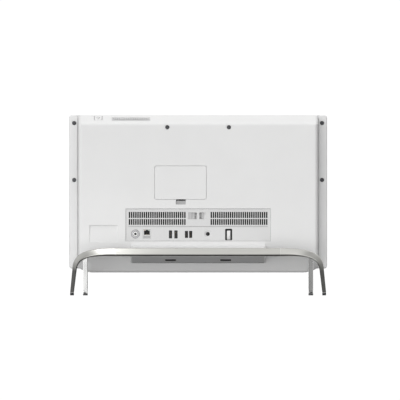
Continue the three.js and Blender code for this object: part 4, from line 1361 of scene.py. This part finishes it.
def make_front_glass():
    edge = 0.5
    levels = [(FRONT_Y + 0.1 + edge * (1 - math.cos(a)), -edge * (1 - math.sin(a))) for a in quarter_turn(4)]
    levels += [(FRONT_Y + 1.7, 0)]
    glass = slab(FRAME_HALF - 3.9, grow(FRAME_Z, -3.9), levels, 2.7)
    piece("cover_glass", glass, GLASS, replaces=["front_glass"])
    place = Matrix.Rotation(math.pi, 4, "Z") @ facing_back(0, -(FRONT_Y + 0.12), CAMERA_Z)
    profile = [(AXIS, 0.0), (1.6, 0.0), (1.9, 0.08), (2.3, 0.1), (2.5, 0.0), (AXIS, -0.1)]
    piece("camera_eye", lathe(profile, place, 36), LENS)
    dots = []
    for x, radius in ((-9, 0.5), (9, 0.5), (-16, 0.4), (16, 0.4)):
        profile = [(AXIS, 0.04), (radius, 0.04), (radius, -0.1), (AXIS, -0.1)]
        dots.append(lathe(profile, Matrix.Translation((x * MM, 0, 0)) @ place, 20))
    piece("camera_dots", join(*dots), DARK_GRAY)


# ---------------------------------------------------------------- screws, drive and memory


def screw_shape():
    """A round-edged head on a shank, with a crossed slot."""
    place = facing_back(0, 0, 0)
    profile = [(AXIS, -9), (1.3, -9), (1.7, -8.4), (1.7, -1.5), (4.0, -1.5), (4.2, -1.3), (4.2, -0.8)]
    for angle in quarter_turn(5):
        profile.append((4.05 - 1.2 * (1 - math.cos(angle)), -0.75 + 0.6 * math.sin(angle)))
    profile.append((AXIS, -0.05))
    arms = []
    for half_u, half_v in ((2.3, 0.45), (0.45, 2.3)):
        outline = rounded_rectangle(half_u, half_v, 0.15, 2)
        arms.append(prism(outline, [(-1.3, -0.25), (0.3, 0.1)], place))
    return cut(lathe(profile, place), *arms)


def make_screws():
    master = screw_shape()
    spots = [(x, BACK_Y - 0.1, z) for x, z in COVER_SCREWS]
    spots += [(x, SEAM_Y - 0.4, z) for x, z in WING_SCREWS]
    for number, spot in enumerate(spots, 1):
        copy = master.copy()
        turn = Matrix.Rotation(math.radians(37 * number), 4, "Y")
        copy.transform(Matrix.Translation(Vector(spot) * MM) @ turn)
        piece(f"screw_{number}", copy, SCREW_STEEL, replaces=[f"case_screw_{number}"])
    master.free()


TRAY_TOP_Y = -12.5
DISC_FLOOR_Y = -13.9
EJECT = {"y": -14, "z": 263, "pin_hole_z": 250}


def make_disc_tray():
    """Thin tray with stepped seats for the disc, and its bezel in the right side of the cover."""
    y, z = center(DISC["y"]), center(DISC["z"])
    face = COVER_HALF - 0.2
    tray = cut(
        block((124, 245), (-16.5, TRAY_TOP_Y), (153, 275), 0.3, 3),
        round_hole(DISC["x"], z, TRAY_TOP_Y, 60.5, 1.5, 0.4),
        round_hole(DISC["x"], z, DISC_FLOOR_Y, 40.5, 0.6, 0.3),
        round_hole(DISC["x"], z, DISC_FLOOR_Y, 9, 1.6, 0.2),
    )
    outline = rounded_rectangle(half_of(DISC["y"]) + 0.1, half_of(DISC["z"]) + 0.1, 0.8)
    bezel = prism(outline, plate_levels(-3.4, 0, 0.5), facing_side(face, y, z))
    key_place = facing_side(face, EJECT["y"], EJECT["z"])
    key_hole = prism(rounded_rectangle(3.0, 5.0, 1.0), cut_levels(1.6, 0.25), key_place)
    pin_place = facing_side(face, EJECT["y"], EJECT["pin_hole_z"])
    pin_hole = prism(circle(0.6, 20), cut_levels(1.6, 0.1), pin_place)
    tray = cut(unite(tray, bezel), key_hole, pin_hole)
    piece("tray_drawer", tray, LIGHT_GRAY, "disc_tray", ["disc_tray"])


def make_disc_hub():
    """Clamp hub with three balls in its rim."""
    z = center(DISC["z"])
    profile = [(AXIS, -15.1), (8, -15.1), (8, -13.4), (7.8, -13.2), (6.8, -13.2), (6.8, -11.4)]
    profile += [(6.3, -10.9), (3.2, -10.8), (2.6, -11.2), (AXIS, -11.2)]
    hub = lathe(profile, facing_back(DISC["x"], 0, z), 48)
    balls = []
    for turn in range(3):
        ball = bmesh.new()
        angle = turn * 2 * math.pi / 3
        spot = Vector((DISC["x"] + 5.9 * math.cos(angle), -12.2, z + 5.9 * math.sin(angle)))
        place = Matrix.Translation(spot * MM)
        bmesh.ops.create_uvsphere(ball, u_segments=16, v_segments=10, radius=1.2 * MM, matrix=place)
        balls.append(ball)
    piece("clamp_hub", unite(hub, *balls), LIGHT_GRAY, "disc_hub", ["disc_hub"])


def make_eject_key():
    place = facing_side(COVER_HALF + 0.3, EJECT["y"], EJECT["z"])
    key = prism(rounded_rectangle(2.6, 4.6, 0.9), plate_levels(-1.7, 0, 0.4), place)
    piece("eject_key", key, LIGHT_GRAY, "eject_button", ["eject_button"])


def make_memory(node, name):
    """Memory board with black chips, a pale socket and gold edge contacts."""
    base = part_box(node)[0].z / MM + 1
    face = -18.0
    board = block((2.5, 70.1), (-19.2, face), (base, base + 30), 0.1, 1.0)
    notch = round_hole(2.5, base + 18, face + 0.1, 1.6, 2, 0.05)
    piece(f"{name}_board", cut(board, notch), BOARD, replaces=[node])
    chips = []
    for i in range(4):
        x = 7 + 16 * i
        chips.append(block((x, x + 12), (face - 0.1, -16.6), (base + 9, base + 23), 0.25, 0.3))
    for i in range(9):
        x = 6 + 7 * i
        chips.append(block((x, x + 2.4), (face - 0.1, -17.4), (base + 25.2, base + 26.6), 0.1, 0.1))
    piece(f"{name}_chips", join(*chips), BLACK_PLASTIC)
    socket = cut(
        block((0.5, 72), (-25, -19.1), (base - 1, base + 4), 0.4, 0.5),
        hole((3.5, 69), (base + 0.6, base + 2.4), -19.1, 1.5, 0.1, 0.3),
    )
    piece(f"{name}_socket", socket, LIGHT_GRAY)
    fingers = []
    for x in range(5, 65):
        z = (base + 0.4, base + 3.2)
        fingers.append(block((x, x + 0.6), around(face, 0.05), z, 0.02, 0.05))
    piece(f"{name}_contacts", join(*fingers), GOLD)


# ---------------------------------------------------------------- camera, light and floor

MM_PER_UNIT = 2.066  # one unit of the 400-wide picture at the object
PICTURE_CENTER = Vector((-0.0039, 0.0, 0.1971))

# Soft lights at infinity: direction, cosine where each starts, cosine where it is full, strength.
LOBES = (
    ((0.0, 1.0, 0.0), 0.55, 0.95, 1.25),
    ((0.68, 0.68, 0.25), 0.7, 0.97, 1.05),
    ((-0.2, -0.1, 1.0), 0.6, 0.95, 1.6),
    ((1.0, 0.3, 0.1), 0.7, 0.97, 0.4),
    ((0.0, -1.0, 0.1), 0.6, 0.95, 0.8),
)
AMBIENT = 0.05
SEEN_WHITE = 1.05  # strength of the white that only the camera sees
# Lights that only metal and gloss pick up: direction they come from, angle in degrees, strength.
GLINTS = (
    ("leg_glint", (0.45, -0.7, -0.55), 46, 0.43),
    ("floor_glint", (-0.42, -0.73, -0.54), 46, 0.13),
)
# A small panel behind the right end of the bow: metres and watts.
BEND_GLINT = {"at": (0.25, 0.35, 0.12), "from": (0.05, 1, 0.05), "size": (0.16, 0.14), "power": 0.3}
PICTURE_UNITS = 400
CAMERA_DISTANCE = 3.0
FLOOR_HALF = 12.0
FLOOR_DROP = 0.4  # millimetres under the feet


def make_camera():
    data = bpy.data.cameras.new("camera")
    data.type = "ORTHO"
    data.ortho_scale = PICTURE_UNITS * MM_PER_UNIT * MM
    data.clip_end = 30.0
    camera = bpy.data.objects.new("camera", data)
    camera.location = PICTURE_CENTER + Vector((0, CAMERA_DISTANCE, 0))
    camera.rotation_euler = (math.pi / 2, 0, math.pi)
    bpy.context.scene.collection.objects.link(camera)
    bpy.context.scene.camera = camera


def make_world():
    """White to the camera. The object is lit by a few wide soft lobes."""
    world = bpy.data.worlds.new("studio")
    bpy.context.scene.world = world
    world.use_nodes = True
    tree = world.node_tree
    tree.nodes.clear()
    place = tree.nodes.new("ShaderNodeTexCoord")
    total = None
    for direction, start, full, strength in LOBES:
        along = tree.nodes.new("ShaderNodeVectorMath")
        along.operation = "DOT_PRODUCT"
        along.inputs[1].default_value = Vector(direction).normalized()
        tree.links.new(place.outputs["Generated"], along.inputs[0])
        shape = tree.nodes.new("ShaderNodeMapRange")
        shape.interpolation_type = "SMOOTHSTEP"
        values = {"From Min": start, "From Max": full, "To Min": 0.0, "To Max": strength}
        for socket, value in values.items():
            shape.inputs[socket].default_value = value
        tree.links.new(along.outputs["Value"], shape.inputs["Value"])
        add = tree.nodes.new("ShaderNodeMath")
        tree.links.new(shape.outputs["Result"], add.inputs[0])
        add.inputs[1].default_value = AMBIENT
        if total:
            tree.links.new(total, add.inputs[1])
        total = add.outputs["Value"]
    light = tree.nodes.new("ShaderNodeBackground")
    tree.links.new(total, light.inputs["Strength"])
    seen = tree.nodes.new("ShaderNodeBackground")
    seen.inputs["Strength"].default_value = SEEN_WHITE
    for background in (light, seen):
        background.inputs["Color"].default_value = (1, 1, 1, 1)
    paths = tree.nodes.new("ShaderNodeLightPath")
    choose = tree.nodes.new("ShaderNodeMixShader")
    output = tree.nodes.new("ShaderNodeOutputWorld")
    tree.links.new(paths.outputs["Is Camera Ray"], choose.inputs["Fac"])
    tree.links.new(light.outputs["Background"], choose.inputs[1])
    tree.links.new(seen.outputs["Background"], choose.inputs[2])
    tree.links.new(choose.outputs["Shader"], output.inputs["Surface"])


def add_glint(data, location, direction):
    """A light that diffuse surfaces and the camera don't see."""
    light = bpy.data.objects.new(data.name, data)
    light.location = location
    light.rotation_euler = Vector(direction).to_track_quat("Z", "Y").to_euler()
    light.visible_diffuse = False
    light.visible_camera = False
    bpy.context.scene.collection.objects.link(light)


def make_glints():
    for name, direction, angle, strength in GLINTS:
        data = bpy.data.lights.new(name, "SUN")
        data.angle = math.radians(angle)
        data.energy = strength
        add_glint(data, (0, 0, 1), direction)
    data = bpy.data.lights.new("bend_glint", "AREA")
    data.shape = "RECTANGLE"
    data.size, data.size_y = BEND_GLINT["size"]
    data.energy = BEND_GLINT["power"]
    add_glint(data, BEND_GLINT["at"], BEND_GLINT["from"])


def make_floor():
    """Pale paper that shows shadows. All light passes through it, as on a lit table."""
    shape = bmesh.new()
    bmesh.ops.create_grid(shape, x_segments=8, y_segments=8, size=FLOOR_HALF)
    shader = Shader("floor_paper", (0.8, 0.8, 0.8), 0.9)
    shader.vary_color(3.0, 0.01)
    shader.set("Specular IOR Level", 0.0)
    paths = shader.node("ShaderNodeLightPath")
    clear = shader.node("ShaderNodeBsdfTransparent")
    choose = shader.node("ShaderNodeMixShader")
    shader.link(paths.outputs["Is Camera Ray"], choose.inputs["Fac"])
    shader.link(clear.outputs["BSDF"], choose.inputs[1])
    shader.link(shader.surface.outputs["BSDF"], choose.inputs[2])
    shader.link(choose.outputs["Shader"], shader.tree.nodes["Material Output"].inputs["Surface"])
    floor = add_object("floor", shape)
    floor.data.materials.append(shader.material)
    floor.location.z = -FLOOR_DROP * MM


make_camera()
dress_cad_nodes()
make_stand()
make_rear_cover()
make_latch()
make_hatch()
make_port_panel()
make_panel_details()
make_lan_socket()
for number, port in enumerate(USB, 1):
    make_usb_socket(port, number)
make_antenna_socket()
make_power_socket()
make_cable_hook()
make_bracket_cover()
make_power_button()
make_top_grille()
make_front_frame()
make_front_glass()
make_screws()
make_disc_tray()
make_disc_hub()
make_eject_key()
for level in ("lower", "upper"):
    make_memory(f"memory_module_{level}", f"memory_{level}")
bpy.context.scene.view_settings.view_transform = "Standard"
make_world()
make_glints()
make_floor()
